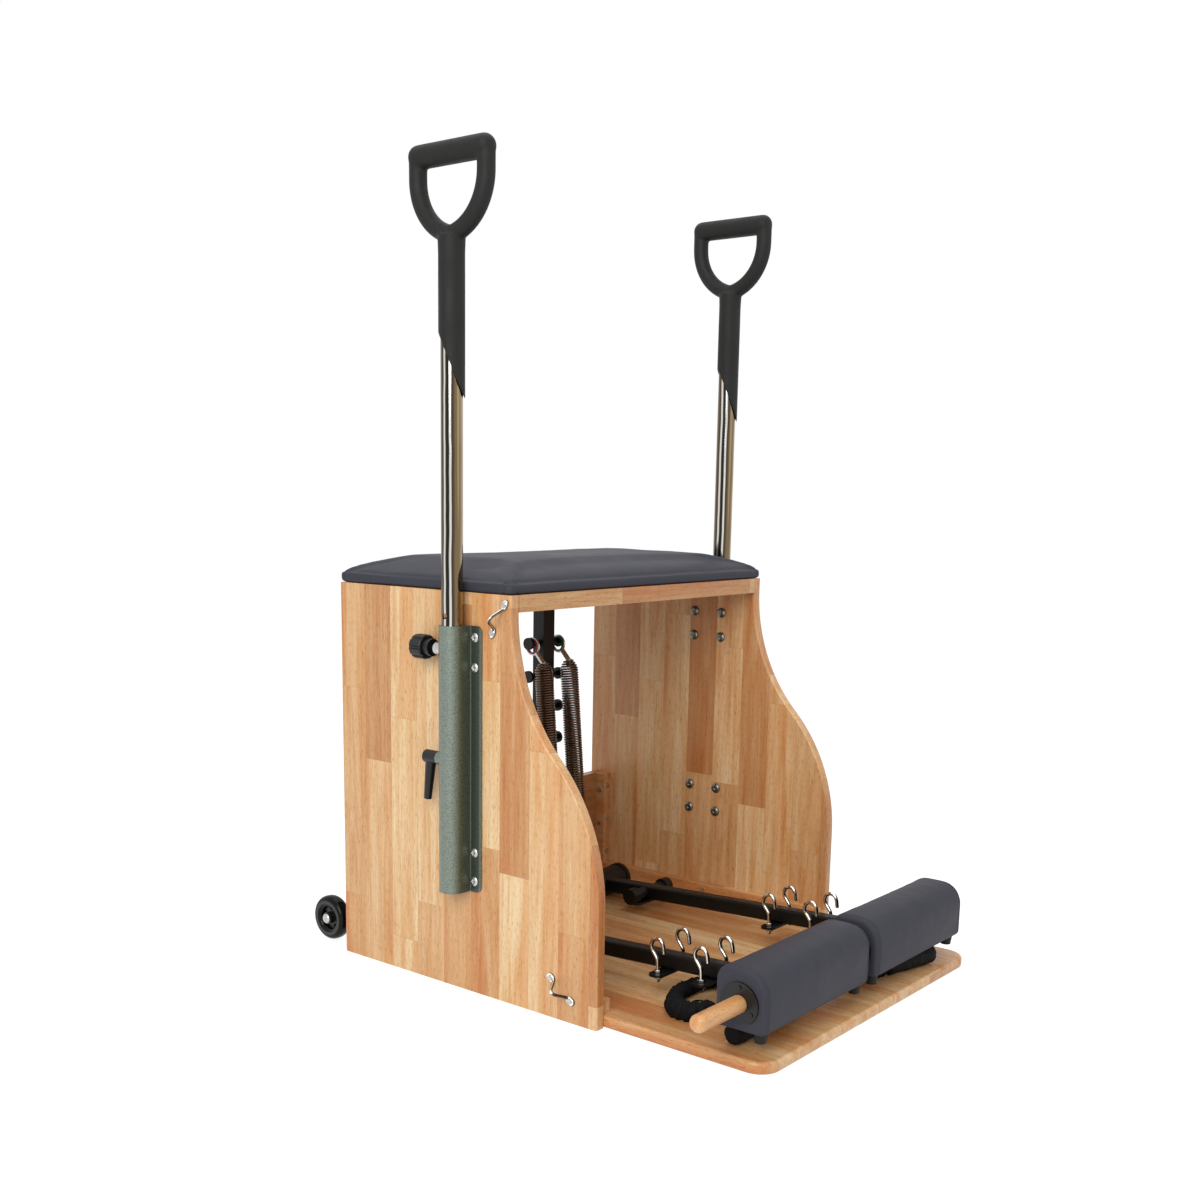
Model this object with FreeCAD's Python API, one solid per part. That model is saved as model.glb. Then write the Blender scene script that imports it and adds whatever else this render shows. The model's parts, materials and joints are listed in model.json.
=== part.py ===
import FreeCAD
import Part
import math
import os

# Split-pedal pilates chair: a wooden case with a padded seat, two pedals on one axle, parked springs,
# two raised grips and a pair of stored exercise cords.
# Millimetres. +Z is up, the front is at -Y, and the origin lies on the floor under the middle of the base.
# Pieces of the right-hand side (+X) are modelled once and mirrored where the left side has the same piece.

Vec = FreeCAD.Vector
X_AXIS = Vec(1, 0, 0)
Y_AXIS = Vec(0, 1, 0)
Z_AXIS = Vec(0, 0, 1)
ORIGIN = Vec(0, 0, 0)

# General clearances
overrun = 2.0                 # how far a cutting tool runs past the face that it cuts
running_clearance = 0.05      # radial, shaft in its hole
side_clearance = 0.5          # between faces that slide past each other
screw_clearance = 0.2         # radial, bolt in its hole
rest_gap = 0.3                # between soft pieces and what they lie on

# Boards of the case
case_width = 656.0
panel_thickness = 18.0
panel_height = 610.0
panel_depth = 536.0
panel_top_depth = 367.0
front_curve_drop = 25.0       # of the S-curved front edge's upper end under the panel's top
front_curve_turn = 45.0       # degrees, of each of its two arcs
panel_edge_round = 3.0
base_length = 810.0
base_thickness = 18.0
base_corner_radius = 34.0
base_edge_round = 5.0
seat_board_thickness = 25.0
rear_board_height = 197.0
rear_board_thickness = 18.0
rear_board_inset = 12.0       # from the panels' rear edges
cleat_size = 20.0
base_cleat_front_inset = 6.0  # from the panels' front edges
cleat_screw_radius = 2.0
cleat_screw_length = 28.0
cleat_screw_head_radius = 4.5
cleat_screw_head_thickness = 2.5
base_cleat_screw_count = 5
corner_cleat_screw_count = 3

# Seat cushion
cushion_height = 42.0
cushion_overhang = 2.0
cushion_corner_radius = 14.0
cushion_crown_reach = 110.0   # how far in from the edge the crown still rises
cushion_level_shares = (0.0, 0.1, 0.42, 0.52, 0.66, 0.82, 0.93, 1.0)
cushion_inset_shares = (0.03, 0.0, 0.0, 0.04, 0.17, 0.38, 0.62, 1.0)
cushion_board_thickness = 12.0
cushion_board_inset = 20.0

# Spring posts and their pegs
post_offset = 115.0           # from the chair's middle
post_width = 30.0
post_depth = 25.0
post_plate_width = 60.0
post_plate_depth = 50.0
post_plate_thickness = 4.0
top_peg_drop = 100.0          # under the seat board
peg_pitch = 60.0
peg_count = 4
peg_stem_radius = 5.0
peg_head_radius = 11.0
peg_head_thickness = 5.0

# Springs, parked between the top pegs and low keepers
spring_spread = 35.0          # from the middle of the post
spring_coil_radius = 15.0     # at the middle of the wire
spring_wire_radius = 2.0
spring_end_radius = 7.0       # at the middle of the wire where the coil tapers to its eye
spring_turns = 25
spring_taper_turns = 2.0
spring_top_drop = 33.0        # of the coil's top under the top pegs
spring_clearance = 2.5        # of the coil in front of the peg heads
eye_ring_radius = 15.0        # at the middle of the wire
eye_wire_radius = 2.0
eye_shank_clearance = 0.3     # to the inside of the coil's last turn
eye_shank_depth = 12.0        # inside the coil
eye_reach = 50.0              # from the coil's end to the keeper's peg
liner_thickness = 1.5
liner_width = 6.0
keeper_width = 30.0
keeper_thickness = 10.0
keeper_foot_thickness = 4.0
keeper_foot_depth = 22.0
keeper_foot_width = 44.0
keeper_head_room = 11.0       # above its peg
keeper_peg_rise = 62.5        # above the base
keeper_clearance = 19.5       # behind the pedals' hubs

# Pedal axle
pivot_setback = 155.0
hub_clearance = 2.5           # of the hubs above the base
axle_radius = 12.5
block_offset = 60.0
block_width = 24.0
block_length = 96.0
block_flange_thickness = 10.0
block_crown = 9.0             # of cast metal round the axle
block_bolt_radius = 4.0
block_bolt_head_radius = 7.0
block_bolt_head_thickness = 5.0
block_bolt_length = 22.0
block_bolt_inset = 12.0
spacer_wall = 4.5
hub_radius = 24.5
hub_length = 93.0
bush_wall = 2.5
end_cap_lip = 2.0             # past the hub
end_cap_thickness = 8.0
end_cap_floor = 3.0

# Pedal arms
arm_offset = 155.0
arm_size = 25.0
arm_wall = 2.5
arm_edge_round = 5.0
arm_socket_depth = 20.0       # of the arm in the pad
arm_entry_rise = 25.0         # middle of the arm above the pad's underside
arm_peg_distance = 109.0      # from the pivot
arm_peg_span = 56.0
arm_peg_stem_radius = 10.0
arm_peg_head_radius = 14.0
arm_peg_head_thickness = 18.0
cross_plate_width = 90.0
cross_plate_depth = 25.0
cross_plate_thickness = 4.0
cross_plate_corner = 9.0
hook_distances = (385.0, 464.0)   # from the pivot
hook_spread = 32.5
hook_wire_radius = 3.0
hook_bend_radius = 11.0
hook_shank_bend = 12.0
hook_neck_turn = 45.0         # degrees
hook_centre_rise = 41.0       # of the bend above the cross plate
hook_tip_drop = 11.0          # below the bend's centre
hook_tail = 14.0              # threaded end below the plate's top
hook_nut_width = 10.0         # across flats
hook_nut_height = 5.0

# Pedal pads
pad_inner_gap = 10.0          # from the chair's middle to the pad's inner end
pad_length = 288.0
pad_depth = 84.0
pad_height = 88.5
pad_front_setback = 799.0
pad_front_radius = 33.0       # of the rounded top edges
pad_rear_radius = 18.0
pad_cover = 10.0              # foam and leather over the wooden core
pad_end_round = 4.0
bumper_radius = 10.0
bumper_tip_radius = 8.0
bumper_height = 14.0
bumper_inset = 17.0           # from the pad's end
bumper_front_inset = 18.0
dowel_radius = 12.5
dowel_rise = 39.5             # above the pad's underside
dowel_start = 402.0           # from the chair's middle to its outer end
dowel_round = 8.0
dowel_end_gap = 12.0          # from the chair's middle to its inner end
bore_clearance = 1.5          # round the dowel inside the core
socket_depth = 100.0          # of the dowel's bore in the right pedal
bushing_wall = 3.5
bushing_depth = 30.0
bushing_flange_radius = 30.0
bushing_flange_thickness = 3.0
bushing_flat = 24.0           # from the dowel to the flange's flat lower edge
bushing_screw_radius = 3.0
bushing_screw_height = 1.5
bushing_screw_circle = 23.0
bushing_screw_count = 3

# Pole sleeves
sleeve_inset = 98.0           # of its axis from the panel's top front edge
sleeve_bottom = 160.0
sleeve_top_drop = 48.0        # under the panel's top edge
sleeve_wall = 3.9
sleeve_clearance = 0.08       # radial, to the pole
flange_width = 85.0
flange_thickness = 3.0
flange_corner_radius = 10.0
bracket_bolt_radius = 3.0
bracket_bolt_head_radius = 7.5
bracket_bolt_head_thickness = 3.5
bracket_bolt_spread = 29.5
bracket_bolt_end_inset = 17.0
bracket_bolt_pitch = 44.0
bracket_bolt_tail = 2.0       # past the nut
bracket_nut_radius = 9.0
bracket_nut_flange = 2.0
bracket_nut_width = 10.0
bracket_nut_height = 7.0

# Poles and grips
pole_radius = 16.0
pole_wall = 2.0
pole_foot_rise = 60.0         # above the sleeve's lower end
pole_length = 870.0
pole_hole_pitch = 50.0
pole_hole_below = 4           # holes under the one at the plunger
pole_hole_above = 1
grip_sleeve_wall = 3.0
grip_sleeve_rear_length = 115.0    # of the grip's sleeve below the pole's top
grip_sleeve_front_length = 207.0
grip_cut_turn = 39.0          # degrees, of the slanted end's low side from the front
grip_bar_radius = 16.5
grip_bar_length = 157.0
grip_bar_round = 15.5
grip_bar_rise = 125.0         # above the pole's top
grip_leg_radius = 13.0
grip_leg_spread = 66.0
grip_leg_straight = 30.0
grip_leg_turn = 80.0          # degrees, of each leg's curve in to the neck
grip_neck_radius = 20.0
grip_neck_height = 24.0

# Plunger and clamp lever on each sleeve
plunger_drop = 36.0           # under the sleeve's top
pin_radius = 4.0
pin_backset = 0.5             # of the parked pin's tip outside the pole
pin_travel = 7.0
plunger_body_radius = 9.0
plunger_body_length = 12.0    # past the sleeve
knob_radius = 18.5
knob_length = 35.0
knob_neck_radius = 13.0
knob_neck_length = 11.0
knob_flute_radius = 2.5
knob_flute_count = 8
knob_round = 3.0
lever_boss_radius = 10.0
lever_boss_length = 8.0
lever_hub_radius = 10.0
lever_hub_length = 26.0
lever_arm_length = 66.0
lever_arm_lean = 7.0          # degrees to the rear
lever_arm_radius = 8.5        # at the hub
lever_tip_radius = 6.0
stud_radius = 5.0

# Pad eyes on the panels' outer faces
upper_eye_insets = (11.0, 35.0)    # of its two screws from the panel's top front edge
upper_eye_drops = (14.0, 56.0)     # under the panel's top edge
lower_eye_insets = (85.0, 47.5)    # from the panel's front edge
lower_eye_heights = (61.0, 34.0)
pad_eye_wire_radius = 2.5
pad_eye_stand = 24.0
pad_eye_lug_radius = 6.0
pad_eye_lug_thickness = 3.0
pad_eye_screw_radius = 2.0
pad_eye_screw_length = 14.0
pad_eye_screw_head_radius = 4.0
pad_eye_screw_head_thickness = 2.0

# Transport wheels at the rear
wheel_inset = 22.0            # of the wheel's middle from the panel's outer face
wheel_back = 58.0             # of the wheel's axis behind the panels' rear edges
wheel_lift = 3.5              # of the tread above the floor
wheel_radius = 37.5
wheel_width = 24.0
tyre_thickness = 8.0
tyre_round = 4.0
wheel_rim_thickness = 5.0
wheel_web_thickness = 5.0
wheel_window_count = 5
wheel_window_radius = 5.0
wheel_boss_radius = 10.0
wheel_axle_radius = 5.0
wheel_head_radius = 9.0
wheel_head_thickness = 5.0
wheel_plate_thickness = 5.0
wheel_plate_height = 52.0
wheel_plate_width = 54.0
wheel_arm_height = 34.0
wheel_bolt_radius = 3.0
wheel_bolt_head_radius = 6.0
wheel_bolt_head_thickness = 3.0
wheel_bolt_length = 16.0
wheel_bolt_inset = 10.0

# Stored exercise cords: foam handles under the pads, sleeved cords, snap hooks
handle_radius = 16.0
handle_length = 116.0
handle_cap_radius = 13.0
handle_cap_length = 4.0
cord_radius = 11.5
cord_arc_share = 0.45         # of the shorter run that an arc's tangent takes up
hook_ring_wire_radius = 3.5
hook_ring_half_width = 10.0
hook_ring_length = 56.0
left_hook_turn = 90.0          # degrees, of the hook from the way its cord ends
right_hook_turn = 0.0
left_handle_end_inset = 16.0  # from the pad's outer end
left_handle_setback = 22.0    # behind the pad's middle
left_handle_heading = Vec(1, 0, 0)
right_handle_end_inset = 70.0
right_handle_setback = -24.0
right_handle_heading = Vec(-41.1, 8.7, 0)
left_cord_steps = (           # places along the cord, from where it leaves its handle
    Vec(0, 0, 0), Vec(42, 0, 0), Vec(78.4, 21, 0), Vec(99.4, 57.4, 0), Vec(99.4, 99.4, 0),
    Vec(78.4, 135.8, 0), Vec(42, 156.8, 0), Vec(1, 159, 0), Vec(-27, 155, 0), Vec(-50, 143, 0),
    Vec(-75.3, 123.1, 0), Vec(-77.2, 101.7, 0), Vec(-63.4, 85.2, 0), Vec(-39.5, 83.1, 0))
right_cord_steps = (
    Vec(0, 0, 0), Vec(-41.1, 8.7, 0), Vec(-72.3, 36.8, 0), Vec(-85.3, 76.7, 0), Vec(-76.6, 117.8, 0),
    Vec(-48.5, 149, 0), Vec(-8.6, 162, 0), Vec(33.4, 163.7, 0), Vec(76, 160, 0), Vec(112, 141, 0),
    Vec(136, 110, 0), Vec(144, 78, 0))

# Places worked out from the sizes above
outer_half = case_width / 2
inner_half = outer_half - panel_thickness
rear_y = base_length / 2
front_y = -rear_y
base_top = base_thickness
seat_board_bottom = panel_height - seat_board_thickness
panel_front_y = rear_y - panel_depth
panel_top_front_y = rear_y - panel_top_depth
rear_board_back_y = rear_y - rear_board_inset
rear_board_front_y = rear_board_back_y - rear_board_thickness
rear_board_top = base_top + rear_board_height
base_cleat_front_y = panel_front_y + base_cleat_front_inset
pivot = Vec(0, rear_y - pivot_setback, base_top + hub_radius + hub_clearance)
post_y = rear_board_front_y - post_depth / 2
top_peg_height = seat_board_bottom - top_peg_drop
peg_half_span = spring_spread + liner_width / 2 + side_clearance + peg_head_thickness
spring_stand = peg_head_radius + spring_coil_radius + spring_wire_radius + spring_clearance
spring_top = Vec(0, post_y - spring_stand, top_peg_height - spring_top_drop)
keeper_y = pivot.y + hub_radius + keeper_clearance + keeper_thickness / 2
keeper_peg = Vec(0, keeper_y, base_top + keeper_peg_rise)
spring_axis = (keeper_peg - spring_top).normalize()
spring_bottom = keeper_peg - spring_axis * eye_reach
eye_inner_radius = eye_ring_radius - eye_wire_radius
liner_inner_radius = eye_inner_radius - liner_thickness
eye_shank_radius = spring_end_radius - spring_wire_radius - eye_shank_clearance
hub_start = arm_offset - hub_length / 2
hub_end = arm_offset + hub_length / 2
end_cap_start = hub_end + side_clearance
end_cap_radius = hub_radius + end_cap_lip
axle_half = end_cap_start + end_cap_thickness - end_cap_floor
pad_bottom = base_top + handle_radius * 2 + rest_gap
pad_top = pad_bottom + pad_height
pad_front_y = rear_y - pad_front_setback
pad_rear_y = pad_front_y + pad_depth
pad_middle_y = pad_front_y + pad_depth / 2
pad_outer = pad_inner_gap + pad_length
dowel_height = pad_bottom + dowel_rise
arm_run = pivot.y - pad_middle_y
arm_tilt = math.degrees(math.atan2(pad_bottom + arm_entry_rise - pivot.z, arm_run))
arm_length = pivot.y - pad_rear_y + arm_socket_depth
arm_bottom = pivot.z - arm_size / 2
sleeve_bore = pole_radius + sleeve_clearance
sleeve_radius = sleeve_bore + sleeve_wall
sleeve_x = outer_half + sleeve_radius
sleeve_y = panel_top_front_y + sleeve_inset
sleeve_top = panel_height - sleeve_top_drop
plunger_height = sleeve_top - plunger_drop
lever_height = (sleeve_top + sleeve_bottom) / 2
pole_bottom = sleeve_bottom + pole_foot_rise
pole_top = pole_bottom + pole_length
grip_bar_height = pole_top + grip_bar_rise
grip_sleeve_rear_end = pole_top - grip_sleeve_rear_length
grip_sleeve_front_end = pole_top - grip_sleeve_front_length
bracket_bolt_heights = (
    sleeve_top - bracket_bolt_end_inset,
    sleeve_top - bracket_bolt_end_inset - bracket_bolt_pitch,
    sleeve_bottom + bracket_bolt_end_inset + bracket_bolt_pitch,
    sleeve_bottom + bracket_bolt_end_inset)
wheel_y = rear_y + wheel_back
wheel_offset = outer_half - wheel_inset
wheel_height = wheel_radius + wheel_lift
cord_height = base_top + cord_radius + rest_gap
handle_height = base_top + handle_radius
left_handle_end = Vec(left_handle_end_inset - pad_outer, pad_middle_y + left_handle_setback, handle_height)
right_handle_end = Vec(pad_outer - right_handle_end_inset, pad_middle_y + right_handle_setback, handle_height)


def box(x_low, x_high, y_low, y_high, z_low, z_high):
    return Part.makeBox(x_high - x_low, y_high - y_low, z_high - z_low, Vec(x_low, y_low, z_low))


def rod(start, end, radius):
    return Part.makeCylinder(radius, (end - start).Length, start, end - start)


def tube(start, end, outer, inner):
    reach = (end - start).normalize() * overrun
    return rod(start, end, outer).cut(rod(start - reach, end + reach, inner))


def hex_prism(base, direction, across_flats, height):
    corner = across_flats / math.sqrt(3)
    points = []
    for index in range(7):
        angle = math.radians(60 * index)
        points.append(Vec(corner * math.cos(angle), corner * math.sin(angle), 0))
    prism = Part.Face(Part.makePolygon(points)).extrude(Z_AXIS * height)
    prism.Placement = FreeCAD.Placement(base, FreeCAD.Rotation(Z_AXIS, direction))
    return prism


def mirrored(shape):
    return shape.mirror(ORIGIN, X_AXIS)


def fused(shapes):
    return shapes[0].multiFuse(shapes[1:]).removeSplitter()


def group(shapes):
    solids = []
    for shape in shapes:
        solids.extend(shape.Solids)
    return Part.makeCompound(solids)


def both_sides(shapes):
    return group(list(shapes) + [mirrored(shape) for shape in shapes])


def polar(centre, radius, degrees):
    angle = math.radians(degrees)
    return Vec(centre.x, centre.y + radius * math.cos(angle), centre.z + radius * math.sin(angle))


def line(start, end):
    return Part.LineSegment(start, end).toShape()


def arc(start, middle, end):
    return Part.Arc(start, middle, end).toShape()


def swept(path, radius):
    """Round tube along a wire of lines and arcs."""
    first = path.OrderedEdges[0]
    start = path.OrderedVertexes[0].Point
    heading = first.tangentAt(first.FirstParameter)
    if (first.valueAt(first.FirstParameter) - start).Length > radius:
        heading = first.tangentAt(first.LastParameter) * -1
    section = Part.Wire(Part.makeCircle(radius, start, heading))
    return path.makePipeShell([section], True, False)


def export(name, shape):
    if not shape.isValid():
        print("invalid shape:", name)
    shape.exportStep("parts/%s.step" % name)
    print("%-24s solids %2d  volume %12.1f" % (name, len(shape.Solids), shape.Volume))


def edges_where(shape, test):
    return [edge for edge in shape.Edges if test(edge)]


# Case boards

def cleat_screw(head_seat, direction):
    """Pan-head wood screw whose head sits on a face and whose shank points along direction."""
    head = rod(head_seat, head_seat - direction * cleat_screw_head_thickness, cleat_screw_head_radius)
    head_top = head_seat - direction * cleat_screw_head_thickness
    shank = rod(head_top, head_seat + direction * cleat_screw_length, cleat_screw_radius)
    return fused([head, shank])


def right_cleat_screws():
    screws = []
    face = inner_half - cleat_size
    cleat_rear = rear_board_front_y - cleat_size
    step = (cleat_rear - base_cleat_front_y) / base_cleat_screw_count
    for index in range(base_cleat_screw_count):
        place = Vec(face, cleat_rear - step * (index + 0.5), base_top + cleat_size / 2)
        screws.append(cleat_screw(place, X_AXIS))
    rise = rear_board_height / corner_cleat_screw_count
    for index in range(corner_cleat_screw_count):
        height = base_top + rise * (index + 0.5)
        screws.append(cleat_screw(Vec(face, rear_board_front_y - cleat_size / 2, height), X_AXIS))
        across = Vec(inner_half - cleat_size / 2, cleat_rear, height + cleat_screw_head_radius * 2)
        screws.append(cleat_screw(across, Y_AXIS))
    return screws


def right_panel_blank():
    radius = (panel_depth - panel_top_depth) / 2 / (1 - math.cos(math.radians(front_curve_turn)))
    rise = radius * math.sin(math.radians(front_curve_turn))
    curve_top_height = panel_height - front_curve_drop
    upper_centre = Vec(inner_half, panel_top_front_y - radius, curve_top_height)
    lower_centre = Vec(inner_half, panel_front_y + radius, curve_top_height - rise * 2)
    rear_bottom = Vec(inner_half, rear_y, 0)
    rear_top = Vec(inner_half, rear_y, panel_height)
    front_top = Vec(inner_half, panel_top_front_y, panel_height)
    front_bottom = Vec(inner_half, panel_front_y, 0)
    curve_top = polar(upper_centre, radius, 0)
    inflection = polar(upper_centre, radius, -front_curve_turn)
    curve_bottom = polar(lower_centre, radius, 180)
    outline = Part.Wire([
        line(rear_bottom, rear_top),
        line(rear_top, front_top),
        line(front_top, curve_top),
        arc(curve_top, polar(upper_centre, radius, -front_curve_turn / 2), inflection),
        arc(inflection, polar(lower_centre, radius, 180 - front_curve_turn / 2), curve_bottom),
        line(curve_bottom, front_bottom),
        line(front_bottom, rear_bottom)])
    blank = Part.Face(outline).extrude(X_AXIS * panel_thickness)

    def upright(edge):
        box_of_edge = edge.BoundBox
        across = box_of_edge.XLength > panel_thickness / 2
        flat = box_of_edge.ZLength < panel_edge_round
        return not across and not flat

    return blank.makeFillet(panel_edge_round, edges_where(blank, upright))


def base_board():
    radius = base_corner_radius
    lean = radius * (1 - math.sqrt(0.5))
    corners = []
    for side in (-1, 1):
        corners.append(Vec(side * inner_half, front_y + radius, 0))
        corners.append(Vec(side * (inner_half - lean), front_y + lean, 0))
        corners.append(Vec(side * (inner_half - radius), front_y, 0))
    left_side, left_bend, left_front, right_side, right_bend, right_front = corners
    outline = Part.Wire([
        line(Vec(-inner_half, rear_y, 0), left_side),
        arc(left_side, left_bend, left_front),
        line(left_front, right_front),
        arc(right_front, right_bend, right_side),
        line(right_side, Vec(inner_half, rear_y, 0)),
        line(Vec(inner_half, rear_y, 0), Vec(-inner_half, rear_y, 0))])
    board = Part.Face(outline).extrude(Z_AXIS * base_thickness)

    def rounded(edge):
        level = edge.BoundBox.ZLength < base_edge_round
        return level and edge.BoundBox.YMin < rear_y - base_edge_round

    return board.makeFillet(base_edge_round, edges_where(board, rounded))


def build_case():
    screws = right_cleat_screws()
    eyes, eye_screws = right_pad_eyes()
    blocks, block_bolts = pillow_block_set()
    wheel_mounts, wheel_bolts = right_wheel_bracket()
    panel = right_panel_blank()
    for height in bracket_bolt_heights:
        for spread in (-bracket_bolt_spread, bracket_bolt_spread):
            start = Vec(inner_half - overrun, sleeve_y + spread, height)
            end = Vec(outer_half + overrun, sleeve_y + spread, height)
            panel = panel.cut(rod(start, end, bracket_bolt_radius + screw_clearance))
    panel = panel.cut(group(screws + eye_screws))
    export("right_side_panel", panel)
    export("left_side_panel", mirrored(panel))

    base = base_board().cut(block_bolts)
    export("base_board", base)
    seat = box(-inner_half, inner_half, panel_top_front_y, rear_y, seat_board_bottom, panel_height)
    export("seat_board", seat)

    all_screws = both_sides(screws + eye_screws + wheel_bolts)
    rear = box(-inner_half, inner_half, rear_board_front_y, rear_board_back_y, base_top, rear_board_top)
    export("rear_board", rear.cut(all_screws))

    inner_face = inner_half - cleat_size
    cleat_rear = rear_board_front_y - cleat_size
    base_cleat = box(inner_face, inner_half, base_cleat_front_y, cleat_rear, base_top, base_top + cleat_size)
    corner_cleat = box(inner_face, inner_half, cleat_rear, rear_board_front_y, base_top, rear_board_top)
    screw_set = group(screws)
    export("cleats", both_sides([base_cleat.cut(screw_set), corner_cleat.cut(screw_set)]))
    export("wood_screws", group([all_screws, block_bolts]))
    export("pad_eyes", both_sides(eyes))
    export("pillow_blocks", blocks)
    export("wheel_brackets", both_sides(wheel_mounts))


# Seat cushion

def rounded_outline(half_width, rear, front, height, radius):
    lean = radius * (1 - math.sqrt(0.5))
    return Part.Wire([
        line(Vec(-half_width + radius, front, height), Vec(half_width - radius, front, height)),
        arc(Vec(half_width - radius, front, height), Vec(half_width - lean, front + lean, height),
            Vec(half_width, front + radius, height)),
        line(Vec(half_width, front + radius, height), Vec(half_width, rear - radius, height)),
        arc(Vec(half_width, rear - radius, height), Vec(half_width - lean, rear - lean, height),
            Vec(half_width - radius, rear, height)),
        line(Vec(half_width - radius, rear, height), Vec(-half_width + radius, rear, height)),
        arc(Vec(-half_width + radius, rear, height), Vec(-half_width + lean, rear - lean, height),
            Vec(-half_width, rear - radius, height)),
        line(Vec(-half_width, rear - radius, height), Vec(-half_width, front + radius, height)),
        arc(Vec(-half_width, front + radius, height), Vec(-half_width + lean, front + lean, height),
            Vec(-half_width + radius, front, height))])


def build_cushion():
    sections = []
    for level_share, inset_share in zip(cushion_level_shares, cushion_inset_shares):
        inset = cushion_crown_reach * inset_share - cushion_overhang
        height = panel_height + cushion_height * level_share
        sections.append(rounded_outline(outer_half - inset, rear_y - inset, panel_top_front_y + inset, height,
                                        cushion_corner_radius))
    cushion = Part.makeLoft(sections, True, True)
    inset = cushion_board_inset
    board = box(-outer_half + inset, outer_half - inset, panel_top_front_y + inset, rear_y - inset,
                panel_height, panel_height + cushion_board_thickness)
    export("cushion_board", board)
    export("seat_cushion", cushion.cut(board))


# Spring posts, springs and keepers

def peg(centre, half_span, stem_radius, head_radius, head_thickness):
    """Round bar along X with a flat head at each end."""
    shapes = [rod(centre - X_AXIS * half_span, centre + X_AXIS * half_span, stem_radius)]
    for side in (-1, 1):
        tip = centre + X_AXIS * (side * half_span)
        shapes.append(rod(tip, tip - X_AXIS * (side * head_thickness), head_radius))
    return fused(shapes)


def spring_peg(centre):
    return peg(centre, peg_half_span, peg_stem_radius, peg_head_radius, peg_head_thickness)


def helix_point(centre, turn):
    """Point and heading of the spring's wire after so many turns from its top."""
    total = float(spring_turns)
    pitch = (spring_bottom - spring_top).Length / total
    side = spring_axis.cross(X_AXIS)
    nearest_end = min(turn, total - turn)
    radius = spring_coil_radius
    growth = 0.0
    if nearest_end < spring_taper_turns:
        reach = spring_coil_radius - spring_end_radius
        phase = math.pi * nearest_end / spring_taper_turns
        radius = spring_end_radius + reach * (1 - math.cos(phase)) / 2
        growth = reach * math.sin(phase) * math.pi / spring_taper_turns / 2
        if turn > total / 2:
            growth = -growth
    angle = 2 * math.pi * turn
    outward = X_AXIS * math.cos(angle) + side * math.sin(angle)
    around = side * math.cos(angle) - X_AXIS * math.sin(angle)
    place = centre + spring_axis * (pitch * turn) + outward * radius
    heading = spring_axis * pitch + outward * growth + around * (radius * 2 * math.pi)
    return place, heading.normalize()


def tangent_arc(start, corner, end):
    """Arc from start to end that touches the two lines which meet at corner."""
    chord_middle = (start + end) * 0.5
    half_chord = (end - start).Length / 2
    bend = math.acos(half_chord / (corner - start).Length)
    return arc(start, chord_middle + (corner - chord_middle) * (math.tan(bend / 2) / math.tan(bend)), end)


def biarc(start, start_heading, end, end_heading):
    span = end - start
    headings = start_heading + end_heading
    along = span.dot(headings)
    spread = 2 * (1 - start_heading.dot(end_heading))
    reach = (math.sqrt(along * along + spread * span.dot(span)) - along) / spread
    first_corner = start + start_heading * reach
    second_corner = end - end_heading * reach
    joint = (first_corner + second_corner) * 0.5
    return [tangent_arc(start, first_corner, joint), tangent_arc(joint, second_corner, end)]


def coil_self_gap(centre):
    """Least gap between turns of the wire, measured on points a quarter turn or more apart."""
    per_turn = 16
    points = [helix_point(centre, index / per_turn)[0] for index in range(spring_turns * per_turn + 1)]
    least = min((points[late] - points[early]).Length
                for early in range(len(points))
                for late in range(early + per_turn // 4, min(len(points), early + per_turn * 2)))
    return least - spring_wire_radius * 2


def coil(x):
    centre = Vec(x, spring_top.y, spring_top.z)
    edges = []
    for half_turn in range(spring_turns * 2):
        start, start_heading = helix_point(centre, half_turn / 2)
        end, end_heading = helix_point(centre, (half_turn + 1) / 2)
        edges.extend(biarc(start, start_heading, end, end_heading))
    return swept(Part.Wire(edges), spring_wire_radius)


def swivel_eye(x, peg_centre, coil_end, into_coil):
    """Ring on a peg with a shank that runs to the coil's end and a little way into it."""
    peg_place = Vec(x, peg_centre.y, peg_centre.z)
    coil_place = Vec(x, coil_end.y, coil_end.z)
    pull = (coil_place - peg_place).normalize()
    ring_centre = peg_place + pull * (liner_inner_radius - peg_stem_radius - rest_gap)
    ring = Part.makeTorus(eye_ring_radius, eye_wire_radius, ring_centre, X_AXIS)
    shank = rod(ring_centre + pull * eye_ring_radius, coil_place, eye_shank_radius)
    elbow = Part.makeSphere(eye_shank_radius, coil_place)
    plug = rod(coil_place, coil_place + into_coil * eye_shank_depth, eye_shank_radius)
    half_width = X_AXIS * (liner_width / 2)
    liner_outer = eye_inner_radius - running_clearance
    liner = tube(ring_centre - half_width, ring_centre + half_width, liner_outer, liner_inner_radius)
    eye = fused([ring, shank, elbow, plug]).cut(liner)
    return eye, liner


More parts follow.
